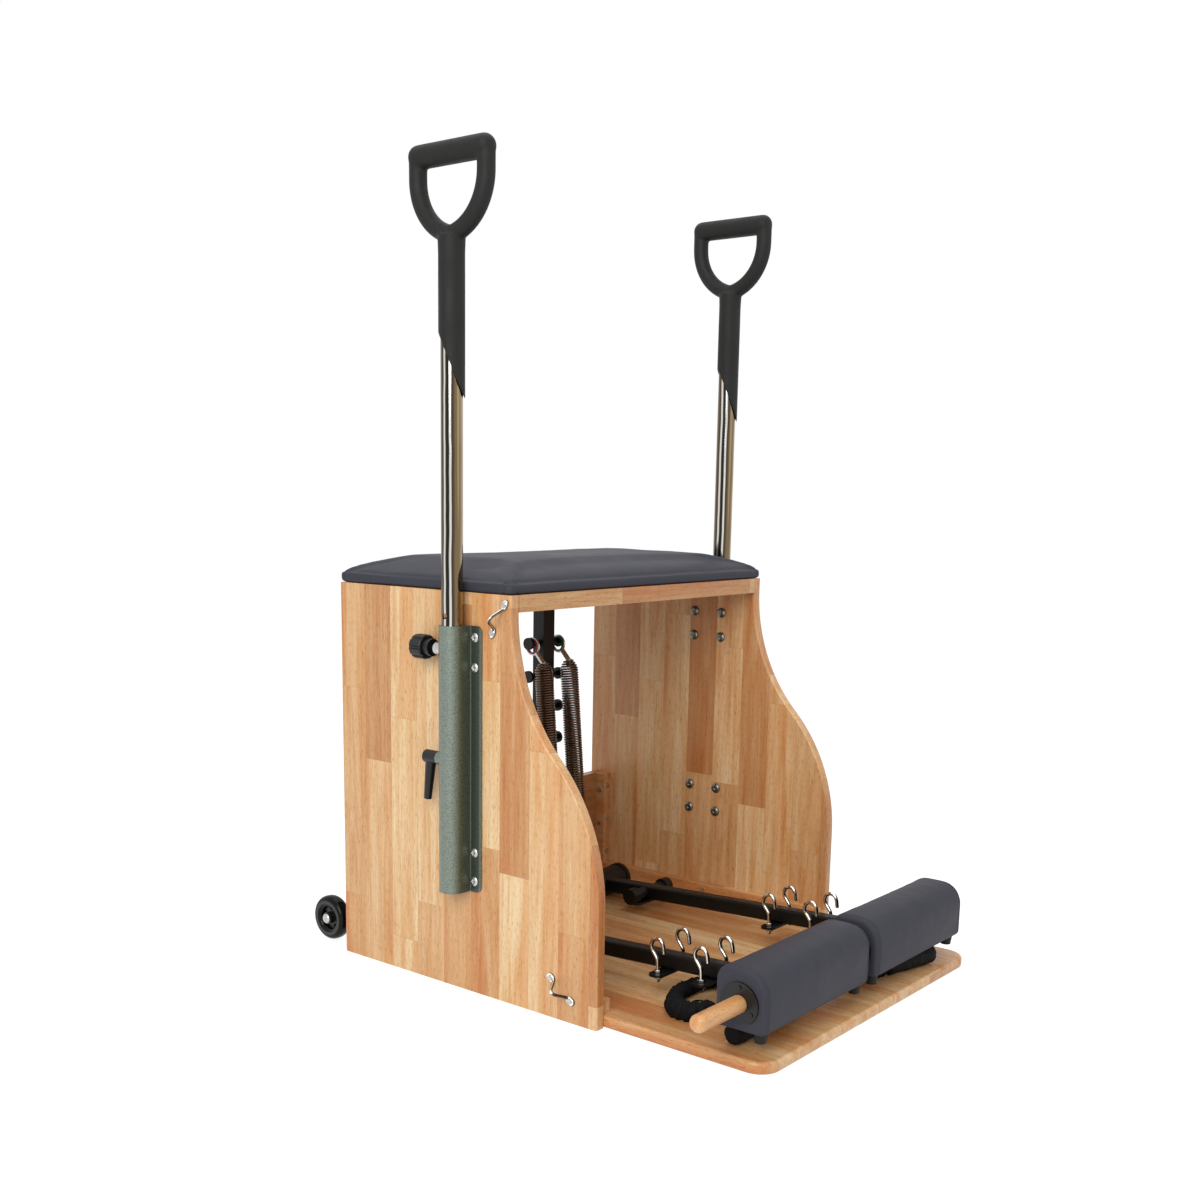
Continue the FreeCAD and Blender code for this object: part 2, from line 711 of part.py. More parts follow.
def build_springs():
    peg_stems = []
    pegs = []
    for index in range(peg_count):
        centre = Vec(post_offset, post_y, top_peg_height - peg_pitch * index)
        pegs.append(spring_peg(centre))
        reach = X_AXIS * peg_half_span
        peg_stems.append(rod(centre - reach, centre + reach, peg_stem_radius))
    export("post_pegs", both_sides(pegs))

    half_width = post_width / 2
    post = box(post_offset - half_width, post_offset + half_width, post_y - post_depth / 2,
               rear_board_front_y, base_top, seat_board_bottom)
    half_plate = post_plate_width / 2
    foot = box(post_offset - half_plate, post_offset + half_plate, rear_board_front_y - post_plate_depth,
               rear_board_front_y, base_top, base_top + post_plate_thickness)
    head = box(post_offset - half_plate, post_offset + half_plate, rear_board_front_y - post_plate_depth,
               rear_board_front_y, seat_board_bottom - post_plate_thickness, seat_board_bottom)
    export("spring_posts", both_sides([fused([post, foot, head]).cut(group(peg_stems))]))

    top_peg = Vec(0, post_y, top_peg_height)
    eyes = []
    liners = {"red": [], "green": []}
    for side, name in ((-1, "left_springs"), (1, "right_springs")):
        coils = []
        for spread, colour in ((-spring_spread, "red"), (spring_spread, "green")):
            x = side * (post_offset + spread)
            coils.append(coil(x))
            upper, upper_liner = swivel_eye(x, top_peg, spring_top, spring_axis)
            lower, lower_liner = swivel_eye(x, keeper_peg, spring_bottom, spring_axis * -1)
            eyes.extend([upper, lower])
            liners[colour].extend([upper_liner, lower_liner])
        export(name, group(coils))
    export("spring_eyes", group(eyes))
    export("red_liners", group(liners["red"]))
    export("green_liners", group(liners["green"]))
    print("least gap between spring turns", round(coil_self_gap(spring_top), 2))

    keeper_centre = Vec(post_offset, keeper_peg.y, keeper_peg.z)
    half_keeper = keeper_width / 2
    half_foot = keeper_foot_width / 2
    front = keeper_peg.y - keeper_thickness / 2
    bar = box(post_offset - half_keeper, post_offset + half_keeper, front, front + keeper_thickness,
              base_top, keeper_peg.z + keeper_head_room)
    foot = box(post_offset - half_foot, post_offset + half_foot, front, front + keeper_foot_depth,
               base_top, base_top + keeper_foot_thickness)
    keeper = fused([bar, foot, spring_peg(keeper_centre)])
    export("spring_keepers", both_sides([keeper]))


# Pedal axle

def pillow_block_set():
    half = block_width / 2
    low = block_offset - half
    high = block_offset + half
    crown_radius = axle_radius + block_crown
    flange = box(low, high, pivot.y - block_length / 2, pivot.y + block_length / 2,
                 base_top, base_top + block_flange_thickness)
    cheeks = box(low, high, pivot.y - crown_radius, pivot.y + crown_radius, base_top, pivot.z)
    crown = rod(Vec(low, pivot.y, pivot.z), Vec(high, pivot.y, pivot.z), crown_radius)
    bore = rod(Vec(low - overrun, pivot.y, pivot.z), Vec(high + overrun, pivot.y, pivot.z),
               axle_radius + running_clearance)
    block = fused([flange, cheeks, crown]).cut(bore)
    seat = base_top + block_flange_thickness
    bolts = []
    for side in (-1, 1):
        place = Vec(block_offset, pivot.y + side * (block_length / 2 - block_bolt_inset), seat)
        head = hex_prism(place, Z_AXIS, block_bolt_head_radius * math.sqrt(3), block_bolt_head_thickness)
        shank = rod(place - Z_AXIS * block_bolt_length, place + Z_AXIS * block_bolt_head_thickness,
                    block_bolt_radius)
        bolts.append(fused([head, shank]))
    return both_sides([block.cut(group(bolts))]), both_sides(bolts)


def build_axle():
    shaft = rod(pivot - X_AXIS * axle_half, pivot + X_AXIS * axle_half, axle_radius)
    export("axle_shaft", shaft)
    spacer_start = Vec(block_offset + block_width / 2, pivot.y, pivot.z)
    spacer_end = Vec(hub_start - side_clearance, pivot.y, pivot.z)
    spacer = tube(spacer_start, spacer_end, axle_radius + spacer_wall, axle_radius + running_clearance)
    export("axle_spacers", both_sides([spacer]))
    cap_start = Vec(end_cap_start, pivot.y, pivot.z)
    cap = rod(cap_start, cap_start + X_AXIS * end_cap_thickness, end_cap_radius)
    bore = rod(cap_start - X_AXIS * overrun, cap_start + X_AXIS * (end_cap_thickness - end_cap_floor),
               axle_radius + running_clearance)
    export("axle_end_caps", both_sides([cap.cut(bore)]))


# Pedals

def tilted(shape):
    """Turns a piece modelled on a level arm to the pedal's resting slope."""
    turned = shape.copy()
    turned.rotate(pivot, X_AXIS, -arm_tilt)
    return turned


def arm_envelope():
    half = arm_size / 2
    outer = box(arm_offset - half, arm_offset + half, pivot.y - arm_length, pivot.y, arm_bottom,
                arm_bottom + arm_size)

    def lengthwise(edge):
        return edge.BoundBox.YLength > arm_length / 2

    return outer.makeFillet(arm_edge_round, edges_where(outer, lengthwise))


def arm_hollow():
    half = arm_size / 2 - arm_wall
    return box(arm_offset - half, arm_offset + half, pivot.y - arm_length - overrun, pivot.y - hub_radius,
               arm_bottom + arm_wall, arm_bottom + arm_size - arm_wall)


def cross_plate(distance):
    y = pivot.y - distance
    half_width = cross_plate_width / 2
    half_depth = cross_plate_depth / 2
    plate = box(arm_offset - half_width, arm_offset + half_width, y - half_depth, y + half_depth,
                arm_bottom - cross_plate_thickness, arm_bottom)

    def corner(edge):
        return edge.BoundBox.ZLength > cross_plate_thickness / 2

    return plate.makeFillet(cross_plate_corner, edges_where(plate, corner))


def hook_places():
    places = []
    for distance in hook_distances:
        for spread in (-hook_spread, hook_spread):
            places.append(Vec(arm_offset + spread, pivot.y - distance, arm_bottom))
    return places


def hook(place):
    """Open screw hook: shank up through the plate, neck to the rear, bend over the top, tip to the front."""
    centre = place + Z_AXIS * hook_centre_rise
    bend_start = polar(centre, hook_bend_radius, hook_neck_turn)
    bend_start = Vec(place.x, centre.y + (bend_start.y - centre.y), centre.z - (bend_start.z - centre.z))
    neck_rise = (bend_start.y - place.y) / math.tan(math.radians(hook_neck_turn))
    corner = Vec(place.x, place.y, bend_start.z - neck_rise)
    trim = hook_shank_bend * math.tan(math.radians(hook_neck_turn / 2))
    neck = (bend_start - corner).normalize()
    neck_start = corner - Z_AXIS * trim
    neck_end = corner + neck * trim
    tip_start = polar(centre, hook_bend_radius, 180)
    path = Part.Wire([
        line(place - Z_AXIS * hook_tail, neck_start),
        tangent_arc(neck_start, corner, neck_end),
        line(neck_end, bend_start),
        arc(bend_start, polar(centre, hook_bend_radius, 90), tip_start),
        line(tip_start, tip_start - Z_AXIS * hook_tip_drop)])
    return swept(path, hook_wire_radius)


def hook_set():
    shapes = []
    for place in hook_places():
        shapes.append(hook(place))
        for base in (place, place - Z_AXIS * (cross_plate_thickness + hook_nut_height)):
            nut = hex_prism(base, Z_AXIS, hook_nut_width, hook_nut_height)
            shapes.append(nut.cut(rod(base - Z_AXIS * overrun, base + Z_AXIS * (hook_nut_height + overrun),
                                      hook_wire_radius + running_clearance)))
    return shapes


def pedal_arm():
    bore = axle_radius + running_clearance + bush_wall
    hub = rod(Vec(hub_start, pivot.y, pivot.z), Vec(hub_end, pivot.y, pivot.z), hub_radius)
    hollow = rod(Vec(hub_start - overrun, pivot.y, pivot.z), Vec(hub_end + overrun, pivot.y, pivot.z), bore)
    shapes = [arm_envelope(), hub]
    for distance in (arm_peg_distance,) + hook_distances:
        shapes.append(cross_plate(distance))
    peg_centre = Vec(arm_offset, pivot.y - arm_peg_distance, pivot.z)
    shapes.append(peg(peg_centre, arm_peg_span, arm_peg_stem_radius, arm_peg_head_radius,
                      arm_peg_head_thickness))
    arm = fused(shapes).cut(hollow).cut(arm_hollow())
    for place in hook_places():
        hole = rod(place - Z_AXIS * (cross_plate_thickness + overrun), place + Z_AXIS * overrun,
                   hook_wire_radius + screw_clearance)
        arm = arm.cut(hole)
    return tilted(arm)


def pad_solid(start, end, inset):
    """Block with a flat underside and a rounded top, along X."""
    front = pad_front_y + inset
    rear = pad_rear_y - inset
    top = pad_top - inset
    front_radius = pad_front_radius - inset
    rear_radius = pad_rear_radius - inset
    front_lean = front_radius * (1 - math.sqrt(0.5))
    rear_lean = rear_radius * (1 - math.sqrt(0.5))
    outline = Part.Wire([
        line(Vec(start, rear, pad_bottom), Vec(start, front, pad_bottom)),
        line(Vec(start, front, pad_bottom), Vec(start, front, top - front_radius)),
        arc(Vec(start, front, top - front_radius), Vec(start, front + front_lean, top - front_lean),
            Vec(start, front + front_radius, top)),
        line(Vec(start, front + front_radius, top), Vec(start, rear - rear_radius, top)),
        arc(Vec(start, rear - rear_radius, top), Vec(start, rear - rear_lean, top - rear_lean),
            Vec(start, rear, top - rear_radius)),
        line(Vec(start, rear, top - rear_radius), Vec(start, rear, pad_bottom))])
    return Part.Face(outline).extrude(X_AXIS * (end - start))


def soft_pad():
    block = pad_solid(pad_inner_gap, pad_outer, 0)

    def end_outline(edge):
        return edge.BoundBox.XLength < pad_end_round and edge.BoundBox.ZMax > pad_bottom + pad_end_round

    return block.makeFillet(pad_end_round, edges_where(block, end_outline))


def bushing(face_x, outward):
    """Flanged dowel guide on a pad's end, with its screws; outward is +1 or -1 along X."""
    seat = Vec(face_x, pad_middle_y, dowel_height)
    rim = seat + X_AXIS * (outward * bushing_flange_thickness)
    inside = seat - X_AXIS * (outward * bushing_depth)
    reach = X_AXIS * (outward * overrun)
    flange = rod(seat, rim, bushing_flange_radius)
    below = dowel_height - bushing_flange_radius
    low = min(seat.x, rim.x)
    flat = box(low, low + bushing_flange_thickness, pad_front_y, pad_rear_y, below - overrun,
               dowel_height - bushing_flat)
    barrel = rod(inside, rim, dowel_radius + running_clearance + bushing_wall)
    body = fused([flange.cut(flat), barrel])
    body = body.cut(rod(inside - reach, rim + reach, dowel_radius + running_clearance))
    shapes = [body]
    for index in range(bushing_screw_count):
        centre = polar(rim, bushing_screw_circle, 90 + 360 * index / bushing_screw_count)
        shapes.append(rod(centre, centre + X_AXIS * (outward * bushing_screw_height), bushing_screw_radius))
    return shapes


def pedal_bumpers():
    shapes = []
    y = pad_front_y + bumper_front_inset
    for x in (pad_inner_gap + bumper_inset, pad_outer - bumper_inset):
        place = Vec(x, y, pad_bottom)
        shapes.append(Part.makeCone(bumper_radius, bumper_tip_radius, bumper_height, place, -Z_AXIS))
    return shapes


def dowel_bore(start, end, radius):
    return rod(Vec(start, pad_middle_y, dowel_height), Vec(end, pad_middle_y, dowel_height), radius)


def build_pedals():
    bush_start = Vec(hub_start, pivot.y, pivot.z)
    bush_end = Vec(hub_end, pivot.y, pivot.z)
    bore = axle_radius + running_clearance
    bush = tube(bush_start, bush_end, bore + bush_wall, bore)
    arm = pedal_arm()
    hooks = [tilted(shape) for shape in hook_set()]
    core_blank = pad_solid(pad_inner_gap + pad_cover, pad_outer - pad_cover, pad_cover)
    arm_space = tilted(arm_envelope())
    pad_blank = soft_pad().cut(core_blank).cut(arm_space)
    core_blank = core_blank.cut(arm_space)
    barrel = dowel_radius + running_clearance + bushing_wall
    clear_bore = dowel_radius + bore_clearance
    inner_guide = bushing(pad_inner_gap, -1)
    outer_guide = bushing(pad_outer, 1)
    inner_seat = dowel_bore(pad_inner_gap - overrun, pad_inner_gap + bushing_depth, barrel)
    outer_seat = dowel_bore(pad_outer - bushing_depth, pad_outer + overrun, barrel)
    through = dowel_bore(pad_inner_gap - overrun, pad_outer + overrun, clear_bore)
    socket = dowel_bore(pad_inner_gap - overrun, pad_inner_gap + socket_depth, clear_bore)

    right_set = ("right", [inner_seat, socket], inner_guide)
    left_set = ("left", [inner_seat, outer_seat, through], inner_guide + outer_guide)
    for side, cuts, guides in (right_set, left_set):
        pieces = {
            "pedal_arm": arm,
            "hub_bush": bush,
            "pedal_core": core_blank.cut(cuts),
            "pedal_pad": pad_blank.cut(cuts),
            "bumpers": group(pedal_bumpers()),
            "hook_bolts": group(hooks),
            "pedal_bushings": group(guides)}
        for name, shape in pieces.items():
            export("%s_%s" % (side, name), shape if side == "right" else mirrored(shape))

    dowel = dowel_bore(-dowel_start, -dowel_end_gap, dowel_radius)
    tip_edges = edges_where(dowel, lambda edge: edge.BoundBox.XMax < -dowel_start + overrun)
    export("lock_dowel", dowel.makeFillet(dowel_round, tip_edges))


# Pole sleeves, poles, grips

def plunger_axis(height, distance):
    """Point on a cross screw's axis, so far to the rear of the pole's axis."""
    return Vec(sleeve_x, sleeve_y + distance, height)


def sleeve_saddle():
    """Sleeve without its bore: round outside, with straight sides down to the panel."""
    near = Vec(outer_half, sleeve_y - sleeve_radius, sleeve_bottom)
    far = Vec(outer_half, sleeve_y + sleeve_radius, sleeve_bottom)
    near_bend = Vec(sleeve_x, near.y, sleeve_bottom)
    far_bend = Vec(sleeve_x, far.y, sleeve_bottom)
    crown = Vec(sleeve_x + sleeve_radius, sleeve_y, sleeve_bottom)
    outline = Part.Wire([
        line(near, near_bend),
        arc(near_bend, crown, far_bend),
        line(far_bend, far),
        line(far, near)])
    return Part.Face(outline).extrude(Z_AXIS * (sleeve_top - sleeve_bottom))


def sleeve_bracket():
    half = flange_width / 2
    plate = box(outer_half, outer_half + flange_thickness, sleeve_y - half, sleeve_y + half,
                sleeve_bottom, sleeve_top)

    def corner(edge):
        return edge.BoundBox.XLength > flange_thickness / 2

    plate = plate.makeFillet(flange_corner_radius, edges_where(plate, corner))
    bottom = Vec(sleeve_x, sleeve_y, sleeve_bottom)
    top = Vec(sleeve_x, sleeve_y, sleeve_top)
    shapes = [plate, sleeve_saddle()]
    boss_end = plunger_axis(lever_height, sleeve_radius + lever_boss_length)
    shapes.append(rod(plunger_axis(lever_height, 0), boss_end, lever_boss_radius))
    bracket = fused(shapes)
    bracket = bracket.cut(rod(bottom - Z_AXIS * overrun, top + Z_AXIS * overrun, sleeve_bore))
    stud_end = plunger_axis(lever_height, sleeve_radius + lever_boss_length + overrun)
    bracket = bracket.cut(rod(plunger_axis(lever_height, 0), stud_end, stud_radius + running_clearance))
    pin_end = plunger_axis(plunger_height, sleeve_radius + overrun)
    bracket = bracket.cut(rod(plunger_axis(plunger_height, 0), pin_end, pin_radius + running_clearance))
    for height in bracket_bolt_heights:
        for spread in (-bracket_bolt_spread, bracket_bolt_spread):
            start = Vec(outer_half - overrun, sleeve_y + spread, height)
            end = Vec(outer_half + flange_thickness + overrun, sleeve_y + spread, height)
            bracket = bracket.cut(rod(start, end, bracket_bolt_radius + screw_clearance))
    return bracket


def bracket_bolt_sets():
    bolts = []
    nuts = []
    seat = outer_half + flange_thickness
    for height in bracket_bolt_heights:
        for spread in (-bracket_bolt_spread, bracket_bolt_spread):
            outside = Vec(seat, sleeve_y + spread, height)
            inside = Vec(inner_half, sleeve_y + spread, height)
            tail = inside - X_AXIS * (bracket_nut_height + bracket_bolt_tail)
            head = Part.makeCone(bracket_bolt_head_radius, bracket_bolt_radius, bracket_bolt_head_thickness,
                                 outside, X_AXIS)
            bolts.append(fused([head, rod(tail, outside, bracket_bolt_radius)]))
            flange = rod(inside, inside - X_AXIS * bracket_nut_flange, bracket_nut_radius)
            body = hex_prism(inside, -X_AXIS, bracket_nut_width, bracket_nut_height)
            hole = rod(tail, outside, bracket_bolt_radius + running_clearance)
            nuts.append(fused([flange, body]).cut(hole))
    return bolts, nuts


def plunger_body():
    start = plunger_axis(plunger_height, 0)
    end = plunger_axis(plunger_height, sleeve_radius + plunger_body_length)
    body = rod(start, end, plunger_body_radius)
    body = body.cut(rod(start - Y_AXIS * overrun, end + Y_AXIS * overrun, pin_radius + running_clearance))
    return body.cut(sleeve_saddle())


def plunger():
    tip = plunger_axis(plunger_height, pole_radius + pin_backset)
    knob_gap = pin_travel + side_clearance
    knob_start = plunger_axis(plunger_height, sleeve_radius + plunger_body_length + knob_gap)
    neck_end = knob_start + Y_AXIS * knob_neck_length
    knob_end = knob_start + Y_AXIS * knob_length
    knob = rod(neck_end, knob_end, knob_radius)
    knob = knob.makeFillet(knob_round, edges_where(knob, lambda edge: len(edge.Vertexes) == 1))
    for index in range(knob_flute_count):
        angle = 2 * math.pi * index / knob_flute_count
        spoke = (X_AXIS * math.cos(angle) + Z_AXIS * math.sin(angle)) * knob_radius
        reach = Y_AXIS * overrun
        knob = knob.cut(rod(neck_end + spoke - reach, knob_end + spoke + reach, knob_flute_radius))
    return fused([rod(tip, neck_end, pin_radius), rod(knob_start, neck_end, knob_neck_radius), knob])


def clamp_lever():
    tip = plunger_axis(lever_height, pole_radius + pin_backset)
    hub_base = plunger_axis(lever_height, sleeve_radius + lever_boss_length + side_clearance)
    hub_tip = hub_base + Y_AXIS * lever_hub_length
    elbow = hub_tip - Y_AXIS * lever_hub_radius
    lean = math.radians(lever_arm_lean)
    way = Vec(0, math.sin(lean), -math.cos(lean))
    arm = Part.makeCone(lever_arm_radius, lever_tip_radius, lever_arm_length, elbow, way)
    stud = rod(tip, hub_tip, stud_radius)
    return fused([stud, rod(hub_base, hub_tip, lever_hub_radius), arm])


def pole():
    bottom = Vec(sleeve_x, sleeve_y, pole_bottom)
    top = Vec(sleeve_x, sleeve_y, pole_top)
    shape = tube(bottom, top, pole_radius, pole_radius - pole_wall)
    for index in range(-pole_hole_below, pole_hole_above + 1):
        height = plunger_height + pole_hole_pitch * index
        rear_end = plunger_axis(height, pole_radius + overrun)
        shape = shape.cut(rod(plunger_axis(height, 0), rear_end, pin_radius + screw_clearance))
        side = Vec(sleeve_x + pole_radius + overrun, sleeve_y, height)
        shape = shape.cut(rod(Vec(sleeve_x, sleeve_y, height), side, pin_radius + screw_clearance))
    return shape


def grip(cut_turn):
    """Closed loop handle on a sleeve whose lower end is cut on the slant, lowest at a turn from the front."""
    sleeve_outer = pole_radius + grip_sleeve_wall
    bar_end = Y_AXIS * (grip_bar_length / 2)
    bar_middle = Vec(sleeve_x, sleeve_y, grip_bar_height)
    bar = rod(bar_middle - bar_end, bar_middle + bar_end, grip_bar_radius)
    bar = bar.makeFillet(grip_bar_round, edges_where(bar, lambda edge: len(edge.Vertexes) == 1))
    turn = math.radians(grip_leg_turn)
    curve_radius = grip_leg_spread / (1 - math.cos(turn))
    curve_top = bar_middle - Z_AXIS * grip_leg_straight
    loop_bottom = curve_top - Z_AXIS * (curve_radius * math.sin(turn))
    rear = Y_AXIS * grip_leg_spread
    curve_centre = curve_top + rear - Y_AXIS * curve_radius
    curve_middle = polar(curve_centre, curve_radius, -grip_leg_turn / 2)
    leg_path = Part.Wire([
        line(bar_middle + rear, curve_top + rear),
        arc(curve_top + rear, curve_middle, loop_bottom)])
    rear_leg = swept(leg_path, grip_leg_radius)
    front_leg = rear_leg.mirror(bar_middle, Y_AXIS)
    sleeve_end = Vec(sleeve_x, sleeve_y, grip_sleeve_front_end)
    sleeve = rod(sleeve_end, loop_bottom, sleeve_outer)
    neck_bottom = loop_bottom - Z_AXIS * grip_neck_height
    neck = Part.makeCone(sleeve_outer, grip_neck_radius, grip_neck_height, neck_bottom)
    shape = fused([bar, rear_leg, front_leg, sleeve, neck])
    pole_space = rod(sleeve_end - Z_AXIS * overrun, Vec(sleeve_x, sleeve_y, pole_top), pole_radius)
    shape = shape.cut(pole_space)
    side = sleeve_x - sleeve_outer - overrun
    low = grip_sleeve_front_end - overrun
    front = sleeve_y - sleeve_outer
    rear_face = sleeve_y + sleeve_outer
    wedge = Part.Face(Part.makePolygon([
        Vec(side, front, grip_sleeve_front_end), Vec(side, rear_face, grip_sleeve_rear_end),
        Vec(side, rear_face + overrun, grip_sleeve_rear_end), Vec(side, rear_face + overrun, low),
        Vec(side, front, low), Vec(side, front, grip_sleeve_front_end)]))
    waste = wedge.extrude(X_AXIS * (sleeve_outer + overrun) * 2)
    waste.rotate(sleeve_end, Z_AXIS, cut_turn)
    return shape.cut(waste)


def build_poles():
    bolts, nuts = bracket_bolt_sets()
    export("bracket_bolts", both_sides(bolts))
    export("bracket_nuts", both_sides(nuts))
    export("plunger_bodies", both_sides([plunger_body()]))
    pieces = {"sleeve_bracket": sleeve_bracket(), "plunger": plunger(), "clamp_lever": clamp_lever(),
              "pole": pole()}
    for name, shape in pieces.items():
        export("right_" + name, shape)
        export("left_" + name, mirrored(shape))
    export("right_grip", grip(grip_cut_turn))
    export("left_grip", mirrored(grip(-grip_cut_turn)))


# Pad eyes

def pad_eye(first, second):
    """Wire arch between two lugs on the panel's outer face, with its screws."""
    out = X_AXIS
    lug_top = out * pad_eye_lug_thickness
    screws = []
    shapes = []
    for place in (first, second):
        shapes.append(rod(place, place + lug_top, pad_eye_lug_radius))
        head_seat = place + lug_top
        head = rod(head_seat, head_seat + out * pad_eye_screw_head_thickness, pad_eye_screw_head_radius)
        shank = rod(head_seat - out * pad_eye_screw_length, head_seat, pad_eye_screw_radius)
        screws.append(fused([head, shank]))
    span = (second - first).normalize()
    inset = pad_eye_lug_radius
    start = first + span * inset + out * pad_eye_wire_radius
    end = second - span * inset + out * pad_eye_wire_radius
    crown = (start + end) * 0.5 + out * (pad_eye_stand - pad_eye_wire_radius * 2)
    path = Part.Wire([arc(start, crown, end)])
    wire = swept(path, pad_eye_wire_radius)
    below = Part.makeBox(panel_thickness, base_length, panel_height * 2,
                         Vec(inner_half, front_y, -panel_height / 2))
    return fused(shapes + [wire.cut(below)]).cut(group(screws)), screws


def right_pad_eyes():
    eyes = []
    screws = []
    upper = [Vec(outer_half, panel_top_front_y + inset, panel_height - drop)
             for inset, drop in zip(upper_eye_insets, upper_eye_drops)]
    lower = [Vec(outer_half, panel_front_y + inset, height)
             for inset, height in zip(lower_eye_insets, lower_eye_heights)]
    for first, second in (upper, lower):
        eye, eye_screws = pad_eye(first, second)
        eyes.append(eye)
        screws.extend(eye_screws)
    return eyes, screws


# Transport wheels

def wheel_axis(x):
    return Vec(x, wheel_y, wheel_height)


def wheel_inner_side():
    return wheel_offset - wheel_width / 2


def right_wheel_bracket():
    arm_side = wheel_inner_side() - side_clearance
    low = arm_side - wheel_plate_thickness
    half = wheel_arm_height / 2
    plate_low = base_top + side_clearance
    plate_side = arm_side - wheel_plate_width
    plate_back_y = rear_board_back_y + wheel_plate_thickness
    plate_top = plate_low + wheel_plate_height
    plate = box(plate_side, arm_side, rear_board_back_y, plate_back_y, plate_low, plate_top)
    arm = box(low, arm_side, rear_board_back_y, wheel_y, wheel_height - half, wheel_height + half)
    end = rod(wheel_axis(low), wheel_axis(arm_side), half)
    bore = wheel_axle_radius + running_clearance
    hole = rod(wheel_axis(low - overrun), wheel_axis(arm_side + overrun), bore)
    bolts = []
    for height in (plate_low + wheel_bolt_inset, plate_top - wheel_bolt_inset):
        place = Vec(plate_side + wheel_bolt_inset, plate_back_y, height)
        head = rod(place, place + Y_AXIS * wheel_bolt_head_thickness, wheel_bolt_head_radius)
        bolts.append(fused([head, rod(place - Y_AXIS * wheel_bolt_length, place, wheel_bolt_radius)]))
    bracket = fused([plate, arm, end]).cut(hole).cut(group(bolts))
    return [bracket], bolts


def build_wheels():
    inner = wheel_inner_side()
    outer = inner + wheel_width
    bore = wheel_axle_radius + running_clearance
    hub_radius_out = wheel_radius - tyre_thickness
    tyre = rod(wheel_axis(inner), wheel_axis(outer), wheel_radius)
    tyre = tyre.makeFillet(tyre_round, edges_where(tyre, lambda edge: len(edge.Vertexes) == 1))
    tyre = tyre.cut(rod(wheel_axis(inner - overrun), wheel_axis(outer + overrun), hub_radius_out))
    rim = tube(wheel_axis(inner), wheel_axis(outer), hub_radius_out, hub_radius_out - wheel_rim_thickness)
    web_inner = (inner + outer - wheel_web_thickness) / 2
    web = rod(wheel_axis(web_inner), wheel_axis(web_inner + wheel_web_thickness), hub_radius_out)
    window_circle = (hub_radius_out - wheel_rim_thickness + wheel_boss_radius) / 2
    for index in range(wheel_window_count):
        place = polar(wheel_axis(inner), window_circle, 90 + 360 * index / wheel_window_count)
        web = web.cut(rod(place, place + X_AXIS * wheel_width, wheel_window_radius))
    boss = rod(wheel_axis(inner), wheel_axis(outer), wheel_boss_radius)
    hub = fused([rim, web, boss]).cut(rod(wheel_axis(inner - overrun), wheel_axis(outer + overrun), bore))
    head_seat = wheel_axis(outer + side_clearance)
    tail = wheel_axis(inner - side_clearance - wheel_plate_thickness)
    head = hex_prism(head_seat, X_AXIS, wheel_head_radius * math.sqrt(3), wheel_head_thickness)
    axle = fused([rod(tail, head_seat, wheel_axle_radius), head])
    export("wheel_axles", both_sides([axle]))
    for name, shape in (("wheel_tyre", tyre), ("wheel_hub", hub)):
        export("right_" + name, shape)
        export("left_" + name, mirrored(shape))


# Stored cords

def cord_path(points):
    """Straight runs joined by arcs as large as the runs allow; returns the wire, its length and its radii."""
    edges = []
    radii = []
    start = points[0]
    for before, corner, after in zip(points, points[1:], points[2:]):
        arriving = corner - before
        leaving = after - corner
        turn = arriving.getAngle(leaving)
        trim = cord_arc_share * min(arriving.Length, leaving.Length)
        radii.append(trim / math.tan(turn / 2))
        arc_start = corner - arriving.normalize() * trim
        arc_end = corner + leaving.normalize() * trim
        edges.append(line(start, arc_start))
        edges.append(tangent_arc(arc_start, corner, arc_end))
        start = arc_end
    edges.append(line(start, points[-1]))
    return Part.Wire(edges), radii


def foam_handle(start, way):
    """Foam grip with a cap at each end, lying on the base."""
    cap_start = start + way * handle_cap_length
    foam_end = cap_start + way * (handle_length - handle_cap_length * 2)
    foam = rod(cap_start, foam_end, handle_radius)
    return fused([rod(start, start + way * handle_length, handle_cap_radius), foam])


def snap_hook(near, heading):
    """Long closed ring of round bar lying on the base, from the middle of its near bend along heading."""
    side = Vec(-heading.y, heading.x, 0) * hook_ring_half_width
    reach = heading * hook_ring_half_width
    far = near + heading * (hook_ring_length - hook_ring_half_width * 2)
    path = Part.Wire([
        line(near + side, far + side),
        arc(far + side, far + reach, far - side),
        line(far - side, near - side),
        arc(near - side, near - reach, near + side)])
    return swept(path, hook_ring_wire_radius)


def build_cords():
    handles = []
    hooks = []
    hook_height = base_top + hook_ring_wire_radius + rest_gap
    hook_gap = hook_ring_half_width + hook_ring_wire_radius + rest_gap
    sides = (("left", left_handle_end, left_handle_heading, left_cord_steps, left_hook_turn),
             ("right", right_handle_end, right_handle_heading, right_cord_steps, right_hook_turn))
    for side, handle_end, handle_heading, steps, hook_turn in sides:
        way = Vec(handle_heading).normalize()
        handles.append(foam_handle(handle_end, way))
        cord_start = handle_end + way * handle_length
        route = [Vec(cord_start.x + step.x, cord_start.y + step.y, cord_height) for step in steps]
        path, radii = cord_path(route)
        cord = swept(path, cord_radius)
        print(side, "cord length", round(path.Length, 1), "radii", [round(radius, 1) for radius in radii])
        print(side, "cord volume over section times length",
              round(cord.Volume / (math.pi * cord_radius ** 2 * path.Length), 4))
        export(side + "_cord", cord)
        heading = (route[-1] - route[-2]).normalize()
        near = route[-1] + heading * hook_gap
        near.z = hook_height
        hooks.append(snap_hook(near, FreeCAD.Rotation(Z_AXIS, hook_turn).multVec(heading)))
    export("cord_handles", group(handles))
    export("cord_hooks", group(hooks))


